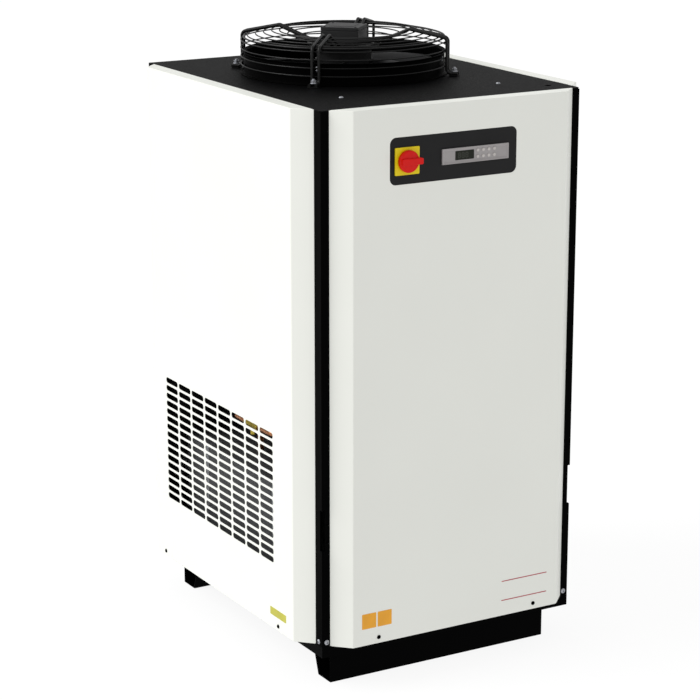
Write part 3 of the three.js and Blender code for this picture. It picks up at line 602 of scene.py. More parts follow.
# Zinc screws hold the posts to the tray, one on each visible leg, and the top plate to the frame.
for sx, side in ((-1, "left"), (1, "right")):
    for sy, end, y in ((-1, "front", FRAME_FRONT), (1, "rear", FRAME_REAR)):
        screw(f"post_screw_{end}_{side}_a", "zinc", (sx * (POST_X - 0.0125), y, 0.126),
              (0, sy, 0), 0.0065)
        screw(f"post_screw_{end}_{side}_b", "zinc", (sx * POST_X, y - sy * 0.0160, 0.1250),
              (sx, 0, 0), 0.0060)
PLATE_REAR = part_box("top_plate")[1].y
for i, x in enumerate((-0.218, 0.218)):
    screw(f"top_plate_screw_{i + 1}", "zinc", (x, -0.310, PLATE_TOP), (0, 0, 1), 0.0055, 0.0035)
    screw(f"lip_screw_{i + 1}", "zinc", (x, PLATE_REAR, PLATE_TOP - 0.013), (0, 1, 0), 0.0055)


# ---- fan
FAN_Y = middle("fan_motor").y
DRUM_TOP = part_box("bell_mouth")[1].z
DRUM_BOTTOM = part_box("bell_mouth")[0].z
DRUM_RADIUS = 0.250
GUARD_RADIUS = 0.2564
ARM_CORNER = Vector((0.263, 1.494))
ARM_KNEE = Vector((0.168, 1.513))
ARM_END = Vector((0.084, 1.478))
ARM_ANGLES = (45, 135, 225, 315)
ROD = 0.0037
ROD_SPREAD = 0.0085
WIRE = 0.0016
FOOT_RADIUS = 0.281
FOOT_TOP = PLATE_TOP + 0.0098


def on_fan(shape):
    return shifted(shape, y=FAN_Y)


drum = fillet([
    (DRUM_RADIUS - 0.003, DRUM_BOTTOM), (DRUM_RADIUS, DRUM_BOTTOM),
    (DRUM_RADIUS, PLATE_TOP + GAP), (DRUM_RADIUS + 0.009, PLATE_TOP + GAP),
    (DRUM_RADIUS + 0.009, PLATE_TOP + 0.003), (DRUM_RADIUS, PLATE_TOP + 0.003),
    (DRUM_RADIUS, DRUM_TOP - 0.006), (DRUM_RADIUS + 0.004, DRUM_TOP),
    (DRUM_RADIUS + 0.001, DRUM_TOP), (DRUM_RADIUS - 0.003, DRUM_TOP - 0.006),
], 0.0012, 3, closed=True)
piece("fan_drum", on_fan(lathe([*drum, drum[0]], 128)), "black_paint", ("bell_mouth",))


def arm_height(radius):
    start = ARM_CORNER if radius > ARM_KNEE.x else ARM_END
    share = (radius - start.x) / (ARM_KNEE.x - start.x)
    return start.y + share * (ARM_KNEE.y - start.y)


def wire_ring(radius, height, wire=WIRE):
    path = [v.to_3d() + Vector((0, 0, height)) for v in circle(radius, 112)]
    return sweep(path, wire, 8, closed=True)


def guard_arm(degrees):
    """Two bent rods that turn out into a foot, and the tab welded under them."""
    shapes = []
    for side in (-ROD_SPREAD, ROD_SPREAD):
        path = fillet([
            (FOOT_RADIUS + 0.010, side, FOOT_TOP - ROD), (ARM_CORNER.x, side, FOOT_TOP - ROD),
            (ARM_CORNER.x, side, ARM_CORNER.y), (ARM_KNEE.x, side, ARM_KNEE.y),
            (ARM_END.x - 0.004, side, ARM_END.y - 0.002),
        ], 0.012, 8)
        shapes.append(sweep(path, ROD, 14))
    tab = rectangle(FOOT_RADIUS - 0.012, FOOT_RADIUS + 0.0105, -0.0135, 0.0135, 0.005)
    shapes.append(prism(tab, FOOT_TOP - 0.0090, FOOT_TOP - 0.0068))
    return turned(merge(*shapes), degrees)


def weld(radius, height, degrees):
    """A small bead in the gap between a ring and the rods of an arm."""
    bead = lathe([(0, -0.0027), (0.0022, -0.0016), (0.0027, 0), (0.0022, 0.0016), (0, 0.0027)], 8)
    reach = math.sqrt(max(radius ** 2 - ROD_SPREAD ** 2, 0))
    beads = [shifted(bead, reach, side, height) for side in (-ROD_SPREAD, ROD_SPREAD)]
    return turned(merge(*beads), degrees)


SIDE_RING_HEIGHTS = (1.425, 1.4445, 1.464, 1.4835)
TOP_RING_RADII = (0.240, 0.220, 0.200, 0.180, 0.160, 0.140, 0.120)
side_rings = [(GUARD_RADIUS, height) for height in SIDE_RING_HEIGHTS]
top_rings = [(radius, arm_height(radius) - ROD - WIRE * 0.6) for radius in TOP_RING_RADII]
TOP_RING = (0.2490, 1.4908)  # the thicker ring round the corner: its radius and height
TOP_RING_WIRE = 0.0023
motor_ring = [(0.058, 1.473), (0.092, 1.473), (0.092, 1.476), (0.058, 1.476), (0.058, 1.473)]
piece("fan_guard_wires", on_fan(merge(
    *[guard_arm(angle) for angle in ARM_ANGLES],
    *[wire_ring(*ring) for ring in side_rings + top_rings],
    wire_ring(*TOP_RING, TOP_RING_WIRE),
    *[weld(radius + 0.0016, height, angle) for radius, height in side_rings
      for angle in ARM_ANGLES],
    *[weld(radius, height + WIRE, angle) for radius, height in (*top_rings, TOP_RING)
      for angle in ARM_ANGLES],
    lathe(motor_ring, 64),
)), "wire_coating", ("fan_guard",))
RIVET_HEIGHTS = (1.438, 1.4455)
for i, angle in enumerate(ARM_ANGLES):
    at = Vector((FOOT_RADIUS * math.cos(math.radians(angle)),
                 FAN_Y + FOOT_RADIUS * math.sin(math.radians(angle)), 0))
    spacer = lathe(fillet([(0, PLATE_TOP + GAP), (0.009, PLATE_TOP + GAP),
                           (0.009, FOOT_TOP - 0.0088), (0, FOOT_TOP - 0.0088)], 0.0002, 3), 24)
    piece(f"guard_spacer_{i + 1}", shifted(spacer, at.x, at.y), "rubber")
    base = FOOT_TOP + GAP
    flange = lathe(fillet([(0, base), (0.0085, base), (0.0085, base + 0.001),
                           (0.0068, base + 0.0022), (0, base + 0.0022)], 0.0004, 3), 32)
    nut = prism(circle(0.0072, 6), base + 0.001, base + 0.008)
    stud = lathe(fillet([(0, base), (0.0035, base), (0.0035, base + 0.011), (0, base + 0.011)],
                        0.0008, 3), 20)
    piece(f"guard_nut_{i + 1}_fine", shifted(merge(flange, nut, stud), at.x, at.y), "zinc",
          (f"guard_nut_{i + 1}",), bevel=0.0005)
    for height in RIVET_HEIGHTS:
        rivet = button_head(0.0026, 0.0013, 0.2)
        spot = turned(shifted(turned(rivet, 90, "Y"), DRUM_RADIUS, 0, height), angle)
        piece(f"drum_rivet_{i + 1}_{round(height * 1000)}", on_fan(spot), "zinc")

motor_low, motor_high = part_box("fan_motor")
stator = fillet([
    (0, motor_low.z), (0.008, motor_low.z), (0.008, motor_low.z + 0.016),
    (0.052, motor_low.z + 0.016), (0.052, 1.464), (0.086, 1.464), (0.086, 1.4727),
    (0.054, 1.4727), (0.040, motor_high.z), (0, motor_high.z),
], 0.0015, 4)
fins = [turned(prism(rectangle(0.042, 0.082, -0.0012, 0.0012), 1.4725, 1.4785), k * 20)
        for k in range(18) if k % 9 not in (2, 7)]
piece("fan_stator", on_fan(merge(lathe(stator, 72), *fins)), "black_plastic", ("fan_motor",))

rotor_low, rotor_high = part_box("fan_rotor")
cup = fillet([
    (0, rotor_low.z), (0.062, rotor_low.z), (0.068, rotor_low.z + 0.006), (0.068, rotor_high.z),
    (0.063, rotor_high.z), (0.063, rotor_low.z + 0.010), (0.016, rotor_low.z + 0.010),
    (0.016, rotor_low.z + 0.021), (0.0084, rotor_low.z + 0.021), (0.0084, rotor_low.z + 0.007),
    (0, rotor_low.z + 0.007),
], 0.002, 4)
piece("fan_rotor_cup", on_fan(lathe(cup, 96)), "black_plastic", ("fan_rotor",), body="fan_wheel")

WHEEL_HEIGHT = middle("fan_impeller").z
BLADES = 5
BLADE_ROOT = 0.0705
BLADE_TIP = 0.2375


def blade(degrees, rows=22, columns=14):
    """A swept, twisted and cambered blade with a rounded edge all round."""
    points, faces = [], []
    for side in (1, -1):
        for i in range(rows + 1):
            s = i / rows
            radius = BLADE_ROOT + s * (BLADE_TIP - BLADE_ROOT)
            pitch = math.radians(38 - 18 * s)
            chord = 0.092 + 0.030 * math.sin(s * math.pi * 0.62)
            sweep_back = math.radians(-16 * s * s)
            for k in range(columns + 1):
                t = k / columns - 0.5
                camber = 0.010 * (1 - (2 * t) ** 2)
                edge = math.sqrt(max(0.0, 1 - (2 * t) ** 6)) * min(1.0, (1 - s) * 14 + 0.25)
                height = t * chord * math.sin(pitch) + camber + side * 0.0017 * edge
                bend = t * chord * math.cos(pitch) / radius + sweep_back
                points.append(Vector((radius * math.cos(bend), radius * math.sin(bend), height)))
    width = columns + 1
    layer = (rows + 1) * width
    for i in range(rows):
        for k in range(columns):
            a = i * width + k
            faces.append((a, a + 1, a + 1 + width, a + width))
            faces.append((layer + a, layer + a + width, layer + a + width + 1, layer + a + 1))
    rim = [k for k in range(columns)] + [i * width + columns for i in range(rows)]
    rim += [rows * width + k for k in range(columns, 0, -1)] + [
        i * width for i in range(rows, 0, -1)]
    for a, b in zip(rim, rim[1:] + rim[:1]):
        faces.append((a, b, b + layer, a + layer))
    return turned((points, faces), degrees)


band = [(0.0683, -0.028), (0.072, -0.028), (0.072, 0.028), (0.0683, 0.028), (0.0683, -0.028)]
wheel = merge(lathe(band, 96), *[blade(k * 360 // BLADES) for k in range(BLADES)])
piece("fan_blades", on_fan(shifted(wheel, z=WHEEL_HEIGHT)), "black_plastic", ("fan_impeller",),
      body="fan_wheel")

# The terminal box stands cornerwise over the motor, with a lid, four screws and a cable gland.
BOX_HALF = 0.048
BOX_FOOT = 1.4785  # where the box's skirt meets the guard's plate
box_low, box_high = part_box("fan_terminal_box")
lid_low, lid_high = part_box("fan_terminal_lid")


def cornerwise(shape):
    return on_fan(turned(shape, 45))


piece("fan_terminal_case", cornerwise(prism(
    rectangle(-BOX_HALF, BOX_HALF, -BOX_HALF, BOX_HALF, 0.0035), BOX_FOOT, box_high.z)),
    "box_plastic", ("fan_terminal_box",), bevel=0.0012, segments=3)
lid = merge(
    prism(rectangle(-BOX_HALF, BOX_HALF, -BOX_HALF, BOX_HALF, 0.0035), lid_low.z, lid_high.z),
    prism(rectangle(-0.031, 0.031, -0.031, 0.031, 0.003), lid_high.z - 0.002, lid_high.z + 0.001),
)
piece("fan_terminal_cover", cornerwise(lid), "box_plastic", ("fan_terminal_lid",),
      bevel=0.0014, segments=3)
LID_SCREW_AT = 0.0395
for i, (sx, sy) in enumerate(((1, 1), (-1, 1), (-1, -1), (1, -1))):
    head = shifted(button_head(0.0032, 0.0016), sx * LID_SCREW_AT, sy * LID_SCREW_AT, lid_high.z)
    piece(f"terminal_screw_{i + 1}", cornerwise(head), "wire_coating", angle=50)


def gland(hexagon, body_radius, length):
    """A cable gland along +Z from z = 0: a hexagon, a ribbed dome nut and a rubber mouth."""
    dome = [(0, 0), (body_radius, 0.001)]
    dome += [(body_radius, length * 0.62), (body_radius * 0.92, length * 0.8),
             (body_radius * 0.7, length), (body_radius * 0.5, length),
             (body_radius * 0.48, length * 0.7), (0, length * 0.7)]
    ribs = [turned(prism(rectangle(body_radius * 0.96, body_radius * 1.05, -0.0006, 0.0006),
                         length * 0.36, length * 0.66), k * 30) for k in range(12)]
    return merge(prism(circle(hexagon, 6), 0, length * 0.33), lathe(fillet(dome, 0.001, 3), 32),
                 *ribs)


terminal_gland = shifted(turned(gland(0.008, 0.0062, 0.015), 90, "Y"), BOX_HALF + GAP, 0,
                         box_low.z + 0.010)
piece("fan_gland", cornerwise(terminal_gland), "black_plastic", ("fan_cable_gland",))


# ---- control panel
BEZEL_FACE = -0.495  # just inside the front panel's face
controller_mid = middle("controller_housing")
switch_mid = middle("switch_plate")
CONTROLLER_HALF = Vector((0.0915, 0.01825))
APERTURE_HALF_X, APERTURE_HALF_Z = 0.0875, 0.0152
aperture = rectangle(controller_mid.x - APERTURE_HALF_X, controller_mid.x + APERTURE_HALF_X,
                     controller_mid.z - APERTURE_HALF_Z, controller_mid.z + APERTURE_HALF_Z, 0.002)
inset = face_of(BEZEL_LOW, BEZEL_HIGH, RIM + 0.0004, 0.0156, 10)
spindle_hole = circle(0.006, 24, switch_mid.x, switch_mid.z)
rim = face_of(BEZEL_LOW, BEZEL_HIGH, 0, 0.024, 8)
piece("control_fascia", prism(inset, BEZEL_FACE, BEZEL_FACE + 0.0034, "y",
                              [aperture, spindle_hole]),
      "black_plastic", ("control_bezel",), bevel=0.0006, segments=3)
piece("control_fascia_rim", prism(rim, BEZEL_FACE + 0.0035, BEZEL_HIGH.y, "y",
                                  [aperture, spindle_hole]), "black_plastic", bevel=0.0004)

plate_low, plate_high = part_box("switch_plate")
yellow = merge(
    prism(face_of(plate_low, plate_high, 0, 0.0025, 6), plate_low.y + 0.0006, plate_high.y, "y",
          [spindle_hole]),
    prism(circle(0.0285, 64, switch_mid.x, switch_mid.z), plate_low.y, plate_low.y + 0.001, "y",
          [spindle_hole]),
)
piece("disconnect_plate", yellow, "yellow_plastic", ("switch_plate",), bevel=0.0007, segments=3)

handle_low, handle_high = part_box("switch_handle")
knob = fillet([(0, GAP), (0.026, GAP), (0.026, 0.009), (0.024, 0.012), (0, 0.012)],
              0.0018, 5)
knob_shape = shifted(turned(lathe(knob, 72), 90, "X"), switch_mid.x, plate_low.y, switch_mid.z)
grip_outline = rectangle(switch_mid.x - 0.024, handle_high.x, switch_mid.z - 0.0075,
                         switch_mid.z + 0.0075, 0.0035, 6)
grip = prism(grip_outline, handle_low.y, plate_low.y - 0.003, "y")
piece("disconnect_handle", merge(knob_shape, grip), "red_plastic", ("switch_handle",),
      body="switch_handle", bevel=0.0012, segments=4)
refined("switch_body", "black_plastic", 0.001)

# The controller: a silver frame whose edges slope in to a sunk face, a window and eight keys.
house_low, house_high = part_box("controller_housing")
CONTROLLER_FACE = house_low.y + 0.0024


def sloping_frame():
    """A rim that stands proud, slopes inward and meets the sunk face."""
    loops = [
        (0.0, BEZEL_FACE - GAP, 0.0015), (0.0, house_low.y + 0.0006, 0.0015),
        (0.0006, house_low.y, 0.0012), (0.0014, house_low.y, 0.0010),
        (0.0056, CONTROLLER_FACE, 0.0006),
    ]
    points, faces = [], []
    rows = []
    for inset_by, y, radius in loops:
        ring = rectangle(-CONTROLLER_HALF.x + inset_by, CONTROLLER_HALF.x - inset_by,
                         -CONTROLLER_HALF.y + inset_by, CONTROLLER_HALF.y - inset_by, radius, 3)
        rows.append(range(len(points), len(points) + len(ring)))
        points += [Vector((controller_mid.x + p.x, y, controller_mid.z + p.y)) for p in ring]
    for a, b in zip(rows, rows[1:]):
        for k in range(len(a)):
            n = (k + 1) % len(a)
            faces.append((a[k], a[n], b[n], b[k]))
    faces.append(tuple(rows[0]))
    faces.append(tuple(rows[-1]))
    return points, faces


lens_low, lens_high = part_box("controller_lens")
piece("controller_case", sloping_frame(), "silver_plastic", ("controller_housing",), angle=25)
BACK_HALF_X, BACK_HALF_Z = 0.0865, 0.0142
piece("controller_back", block(
    (controller_mid.x - BACK_HALF_X, BEZEL_FACE, controller_mid.z - BACK_HALF_Z),
    (controller_mid.x + BACK_HALF_X, house_high.y, controller_mid.z + BACK_HALF_Z)),
    "black_plastic", bevel=0.001)
lens_front = CONTROLLER_FACE - 0.0005
piece("display_window", prism(face_of(lens_low, lens_high, 0, 0.0012), lens_front,
                              CONTROLLER_FACE + GAP, "y"),
      "display_lens", ("controller_lens",), bevel=0.0002)


def seven_segments(x, z, width=0.0062, height=0.0116, bar=0.0009):
    """The unlit segments of one digit, as short bars on the display."""
    half = height / 2
    flat = [rectangle(x + bar, x + width - bar, z + k * half - bar / 2, z + k * half + bar / 2)
            for k in (0, 1, 2)]
    upright = [rectangle(x + dx - bar / 2, x + dx + bar / 2, z + k * half + bar,
                         z + (k + 1) * half - bar) for dx in (0, width) for k in (0, 1)]
    return [prism(outline, lens_front - 0.00008, lens_front + 0.0001, "y")
            for outline in flat + upright]


DIGIT_COUNT = 3
DIGIT_PITCH = 0.0102
DIGIT_MARGIN = 0.008
digit_foot = (lens_low.z + lens_high.z) / 2 - 0.0058
digits = []
for k in range(DIGIT_COUNT):
    digits += seven_segments(lens_low.x + DIGIT_MARGIN + k * DIGIT_PITCH, digit_foot)
piece("display_segments", merge(*digits), "display_segment")
for i in range(1, 9):
    low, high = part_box(f"key_{i}")
    at = (low + high) / 2
    cap = fillet([(0, 0), (0.0039, 0), (0.0039, 0.0017), (0.0034, 0.0024), (0, 0.0022)],
                 0.0004, 3)
    shape = shifted(turned(lathe(cap, 32), 90, "X"), at.x, high.y, at.z)
    piece(f"key_cap_{i}", shape, "key_plastic", (f"key_{i}",), body=f"key_{i}")


# ---- inside
for node, bevel in (("electrical_box", 0.001), ("electrical_cover", 0.0005),
                    ("fan_plenum", 0.0008), ("compressor_base", 0.002)):
    refined(node, "galvanised_steel", bevel)

coil_low, coil_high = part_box("condenser_coil")


def condenser():
    """End plates and a pack of thin fins. The copper return bends at both ends are a piece of their
    own.
    """
    plates = [block((x, coil_low.y, coil_low.z), (x + 0.002, coil_high.y, coil_high.z))
              for x in (coil_low.x, coil_high.x - 0.002)]
    count = 130  # fins
    pitch = (coil_high.x - coil_low.x - 0.008) / count
    fins_pack = [block((coil_low.x + 0.004 + k * pitch, coil_low.y + 0.008, coil_low.z + 0.003),
                       (coil_low.x + 0.0048 + k * pitch, coil_high.y - 0.008,
                        coil_high.z - 0.003)) for k in range(count)]
    return merge(*plates, *fins_pack)


piece("condenser_fins", condenser(), "coil_aluminium", ("condenser_coil",))
TUBE_LEVELS = (0.018, 0.042)
TUBE_LOOPS = 11
LOOP_PITCH = 0.051
rows_of_tube = []
for level in TUBE_LEVELS:
    for k in range(TUBE_LOOPS):
        y = coil_low.y + 0.03 + k * LOOP_PITCH
        for x, way in ((coil_low.x, -1), (coil_high.x, 1)):
            path = fillet([(x, y, coil_low.z + level), (x + way * 0.012, y, coil_low.z + level),
                           (x + way * 0.012, y + 0.022, coil_low.z + level),
                           (x, y + 0.022, coil_low.z + level)], 0.0105, 6)
            rows_of_tube.append(sweep(path, 0.0048, 10))
piece("condenser_bends", merge(*rows_of_tube), "copper")

shell_low, shell_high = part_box("compressor")
shell_mid = (shell_low + shell_high) / 2
seam = shell_mid.z + 0.010  # the welded joint round the shell stands proud of it
shell = fillet([
    (0, shell_low.z + 0.005), (0.070, shell_low.z + 0.005), (0.105, shell_low.z + 0.040),
    (0.105, seam - 0.011), (0.1075, seam - 0.007), (0.1075, seam + 0.007),
    (0.105, seam + 0.011), (0.105, shell_high.z - 0.060), (0.093, shell_high.z - 0.025),
    (0.060, shell_high.z), (0, shell_high.z),
], 0.012, 6)
piece("compressor_shell", shifted(lathe(shell, 72), shell_mid.x, shell_mid.y), "black_paint",
      ("compressor",))
foot = prism(rectangle(shell_low.x, shell_high.x, shell_low.y, shell_high.y, 0.03), shell_low.z,
             shell_low.z + 0.005)
piece("compressor_foot", foot, "black_paint", bevel=0.001)
COVER_HALF, COVER_LOW, COVER_HIGH = 0.035, 0.25, 0.33
terminal = block((shell_mid.x - 0.132, shell_mid.y - COVER_HALF, COVER_LOW),
                 (shell_mid.x - 0.100, shell_mid.y + COVER_HALF, COVER_HIGH))
piece("compressor_terminal_cover", terminal, "black_plastic", bevel=0.004, segments=3)

tank_low, tank_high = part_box("liquid_receiver")
tank = fillet([(0, tank_low.z), (0.040, tank_low.z), (0.050, tank_low.z + 0.015),
               (0.050, tank_high.z - 0.02), (0.036, tank_high.z), (0, tank_high.z)], 0.010, 6)
tank_mid = (tank_low + tank_high) / 2
piece("receiver_tank", shifted(lathe(tank, 56), tank_mid.x, tank_mid.y), "black_paint",
      ("liquid_receiver",))

foam_low, foam_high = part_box("heat_exchanger_module")
piece("exchanger_insulation", block(foam_low, foam_high), "insulation_foam",
      ("heat_exchanger_module",), bevel=0.012, segments=4)
for i, y in enumerate((-0.18, 0.18)):
    strap = prism(rectangle(foam_low.x - 0.001, foam_high.x + 0.001, foam_low.z + 0.001,
                            foam_high.z + 0.001, 0.012), y, y + 0.016, "y",
                  [rectangle(foam_low.x + 0.002, foam_high.x - 0.002, foam_low.z + 0.004,
                             foam_high.z - 0.002, 0.010)])
    piece(f"exchanger_strap_{i + 1}", strap, "galvanised_steel")


def tube(name, node, corners, radius, bend):
    piece(name, sweep(fillet(corners, bend, 10), radius, 16), "copper", (node,))


lid_height = shell_high.z + GAP
coil_end = coil_high.x + GAP
COMPRESSOR_Y = 0.120
PORT, RISER, RUN, COIL_INLET = 0.150, 0.305, 0.700, 1.308
tube("discharge_line", "discharge_pipe", [
    (PORT, COMPRESSOR_Y, lid_height), (PORT, COMPRESSOR_Y, RUN), (RISER, COMPRESSOR_Y, RUN),
    (RISER, COMPRESSOR_Y, COIL_INLET), (coil_end, COMPRESSOR_Y, COIL_INLET)], 0.008, 0.03)
LIQUID_Y, DROP, LIQUID_RUN, COIL_OUTLET = -0.020, 0.320, 0.520, 1.290
TANK_PORT = (0.235, -0.150)
tube("liquid_line", "liquid_pipe", [
    (coil_end, LIQUID_Y, COIL_OUTLET), (DROP, LIQUID_Y, COIL_OUTLET),
    (DROP, LIQUID_Y, LIQUID_RUN), (DROP, TANK_PORT[1], LIQUID_RUN),
    (*TANK_PORT, LIQUID_RUN), (*TANK_PORT, tank_high.z)], 0.006, 0.03)
SUCTION_START, SUCTION_END, SUCTION_RUN = -0.150, 0.090, 0.620
tube("suction_line", "suction_pipe", [
    (SUCTION_START, COMPRESSOR_Y, foam_high.z), (SUCTION_START, COMPRESSOR_Y, SUCTION_RUN),
    (SUCTION_END, COMPRESSOR_Y, SUCTION_RUN), (SUCTION_END, COMPRESSOR_Y, lid_height)],
    0.010, 0.04)
BYPASS_VALVE = (-0.315, -0.042, 0.557)
BYPASS_LEG_X = -0.240
BYPASS_HALF = 0.034
valve_x, valve_y, valve_z = BYPASS_VALVE
for label, leg, side in (("rear", 0.065, 1), ("front", -0.150, -1)):
    tube(f"hot_gas_line_{label}", f"hot_gas_pipe_{label}", [
        (BYPASS_LEG_X, leg, foam_high.z), (BYPASS_LEG_X, leg, valve_z), (valve_x, leg, valve_z),
        (valve_x, valve_y + side * BYPASS_HALF, valve_z)], 0.008, 0.025)
drier_start, drier_end = (corner.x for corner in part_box("filter_drier"))
drier = fillet([(0, drier_start), (0.005, drier_start), (0.005, 0.050), (0.026, 0.066),
                (0.026, 0.160), (0.005, 0.176), (0.005, drier_end), (0, drier_end)], 0.006, 5)
piece("filter_drier_shell", shifted(turned(lathe(drier, 40), 90, "Y"),
                                    0, middle("filter_drier").y, middle("filter_drier").z),
      "copper", ("filter_drier",))
valve = merge(
    along_y(prism(circle(0.013, 6), -BYPASS_HALF, BYPASS_HALF)),
    lathe(fillet([(0, -0.026), (0.009, -0.026), (0.009, 0.010), (0.017, 0.012), (0.017, 0.042),
                  (0.010, 0.044), (0, 0.044)], 0.002, 4), 36),
)
piece("bypass_valve", shifted(valve, *BYPASS_VALVE), "brass", ("hot_gas_valve",),
      bevel=0.0008)
refined("drain_solenoid", "brass", 0.002)
drain_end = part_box("drain_pipe")[1].y
DRAIN_X = -0.020
DRAIN_HEIGHT = 0.135
SOLENOID_PORT = (-0.1647, -0.3243, 0.140)
tube("drain_line", "drain_pipe", [
    SOLENOID_PORT, (DRAIN_X, *SOLENOID_PORT[1:]), (DRAIN_X, -0.200, DRAIN_HEIGHT),
    (DRAIN_X, drain_end, DRAIN_HEIGHT)], 0.005, 0.02)


# ---- rear connections
def threaded_pipe(start, collar, end, bore, radius):
    """A pipe along +Z with a lock nut's collar and a thread up to its mouth."""
    profile = [(0, start), (radius, start), (radius, collar + 0.010)]
    pitch = 0.0023
    z = collar + 0.012
    while z < end - 0.004:
        profile += [(radius - 0.0012, z), (radius, z + pitch / 2)]
        z += pitch
    profile += [(radius - 0.0015, end - 0.0015), (radius - 0.003, end), (bore, end),
                (bore, start + 0.012), (0, start + 0.012)]
    return lathe(profile, 72)


for label in ("inlet", "outlet"):
    low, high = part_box(f"air_{label}_pipe")
    at = (low + high) / 2
    collar = REAR_Y + GAP
    shape = shifted(along_y(threaded_pipe(low.y, collar, high.y, 0.020, 0.026)), at.x, 0, at.z)
    piece(f"air_{label}_nipple", shape, "galvanised_steel", (f"air_{label}_pipe",), angle=20)
    nut = prism([Vector((at.x, at.z)) + v for v in circle(0.036, 6)], collar, collar + 0.008, "y",
                [circle(0.0255, 48, at.x, at.z)])
    piece(f"air_{label}_lock_nut", nut, "galvanised_steel", bevel=0.0015, segments=3)

ball_low, ball_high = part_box("drain_ball_valve")
ball_at = middle("drain_ball_valve")
LEVER_Y = 0.488
LEVER_FOOT = 0.1503
LEVER_ARM = (0.1508, 0.1538)  # low and high
LEVER_GRIP = (0.1488, 0.1558)
profile = fillet([(0, ball_low.y), (0.008, ball_low.y), (0.008, 0.474), (0.0125, 0.476),
                  (0.0130, LEVER_Y), (0.0125, 0.500), (0.009, 0.502), (0.009, ball_high.y),
                  (0.006, ball_high.y), (0.006, ball_high.y - 0.01), (0, ball_high.y - 0.01)],
                 0.0015, 4)
stem = lathe([(0, 0), (0.006, 0), (0.006, 0.015), (0, 0.015)], 24)
piece("drain_valve_body", merge(
    shifted(along_y(lathe(profile, 40)), ball_at.x, 0, DRAIN_HEIGHT),
    shifted(stem, ball_at.x, LEVER_Y, DRAIN_HEIGHT),
), "brass", ("drain_ball_valve",))
lever_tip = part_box("drain_lever")[0].x
arm = rectangle(lever_tip, ball_at.x + 0.006, 0.483, 0.493, 0.004)
piece("drain_valve_lever", merge(
    prism(arm, *LEVER_ARM),
    shifted(lathe(fillet([(0, 0), (0.008, 0), (0.008, 0.004), (0, 0.004)], 0.001, 3), 28),
            ball_at.x, LEVER_Y, LEVER_FOOT),
    prism(rectangle(lever_tip, ball_at.x - 0.020, 0.481, 0.495, 0.004), *LEVER_GRIP),
), "red_plastic", ("drain_lever",), body="drain_lever", bevel=0.0010, segments=3)

gland_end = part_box("cable_gland")[1].y
gland_at = middle("cable_gland")
piece("supply_gland", shifted(along_y(gland(0.015, 0.0115, gland_end - REAR_Y)),
                              gland_at.x, REAR_Y, gland_at.z),
      "black_plastic", ("cable_gland",))


# ---- stickers
STICKER_LIFT = 0.0003  # out of the panel
STICKER_SINK = 0.0002  # into it
LABELS = ((-0.269, -0.230), (-0.2258, -0.187))
LABEL_LOW, LABEL_HIGH = 0.157, 0.195
LINE_START, LINE_END = 0.128, 0.262
LINE_HEIGHTS = (0.1535, 0.2035)
LINE_WIDTH = 0.0022


def sticker(name, material, x0, x1, z0, z1):
    shape = prism(rectangle(x0, x1, z0, z1, 0.0015), FRONT_Y - STICKER_LIFT,
                  FRONT_Y + STICKER_SINK, "y")
    return piece(name, shape, material)


for i, (x0, x1) in enumerate(LABELS):
    sticker(f"orange_sticker_{i + 1}", "orange_sticker", x0, x1, LABEL_LOW, LABEL_HIGH)
for i, z in enumerate(LINE_HEIGHTS):
    sticker(f"red_line_{i + 1}", "red_ink", LINE_START, LINE_END, z, z + LINE_WIDTH)
tag = prism(rectangle(-0.350, -0.270, 0.148, 0.168, 0.0015), -SIDE_X - STICKER_LIFT,
            -SIDE_X + STICKER_SINK, "x")
piece("yellow_sticker", tag, "yellow_sticker")


# ---- floor, light and camera
FLOOR_REACH = 60.0
FLOOR_GLOW = 0.90
SKY_ON_OBJECT = 0.70
SKY_SEEN = 1.0
SUN_TOWARDS = Vector((0.48, -0.17, -0.42))  # its length sets the light's strength
SUN_ANGLE = 35
CAMERA_AT = (-2.9100, -4.9892, 2.2465)
CAMERA_TOWARDS = Vector((0.4848, 0.8353, -0.2594))
FOCAL_LENGTH = 120.57


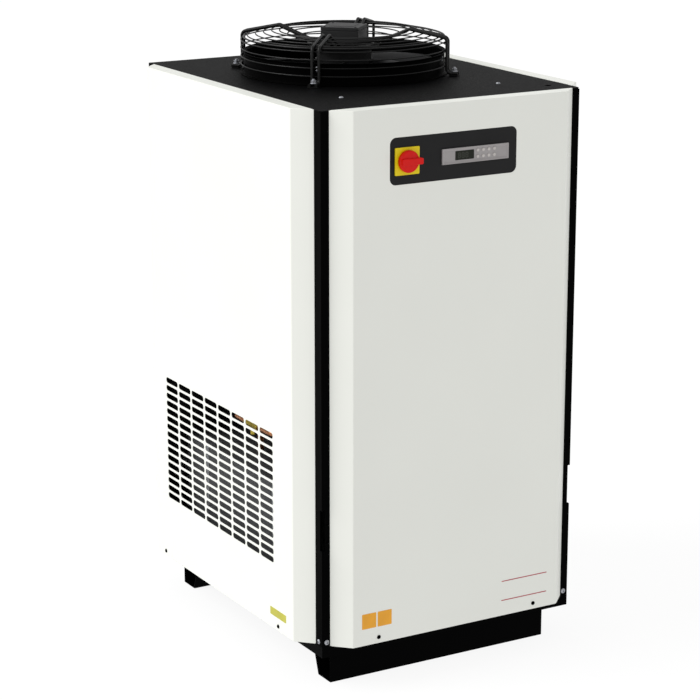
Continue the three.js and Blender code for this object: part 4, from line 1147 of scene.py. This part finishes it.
def plain_floor():
    mesh = bpy.data.meshes.new("floor")
    reach = FLOOR_REACH
    mesh.from_pydata([(-reach, -reach, 0), (reach, -reach, 0), (reach, reach, 0),
                      (-reach, reach, 0)], [], [(0, 1, 2, 3)])
    floor = bpy.data.objects.new("floor", mesh)
    bpy.context.scene.collection.objects.link(floor)
    glow = {"Emission_Color": (1, 1, 1, 1), "Emission_Strength": FLOOR_GLOW}
    paint = Shader("floor_paint", (0.12, 0.12, 0.12), 0.9, Specular_IOR_Level=0.0, **glow)
    paint.tint(paint.noise(0.6), (0.11, 0.11, 0.11))
    mesh.materials.append(paint.material)


def sky():
    """An even white surround that lights the object less than it shows itself."""
    world = bpy.data.worlds.new("studio")
    world.use_nodes = True
    nodes, links = world.node_tree.nodes, world.node_tree.links
    background = nodes["Background"]
    background.inputs["Color"].default_value = (1, 1, 1, 1)
    seen = nodes.new("ShaderNodeLightPath").outputs["Is Camera Ray"]
    strength = nodes.new("ShaderNodeMapRange")
    links.new(seen, strength.inputs["Value"])
    strength.inputs["To Min"].default_value = SKY_ON_OBJECT
    strength.inputs["To Max"].default_value = SKY_SEEN
    links.new(strength.outputs["Result"], background.inputs["Strength"])
    bpy.context.scene.world = world


def key_light():
    """A wide soft light from high on the left, and a little from the rear."""
    data = bpy.data.lights.new("key", "SUN")
    data.energy = math.pi * SUN_TOWARDS.length
    data.angle = math.radians(SUN_ANGLE)
    light = bpy.data.objects.new("key", data)
    light.rotation_euler = SUN_TOWARDS.to_track_quat("-Z", "Y").to_euler()
    bpy.context.scene.collection.objects.link(light)


def camera():
    data = bpy.data.cameras.new("camera")
    data.sensor_width = 36.0
    data.lens = FOCAL_LENGTH
    data.clip_end = 200.0
    view = bpy.data.objects.new("camera", data)
    view.location = CAMERA_AT
    view.rotation_euler = CAMERA_TOWARDS.to_track_quat("-Z", "Y").to_euler()
    bpy.context.scene.collection.objects.link(view)
    bpy.context.scene.camera = view


plain_floor()
sky()
key_light()
camera()
bpy.context.scene.view_settings.view_transform = "Standard"
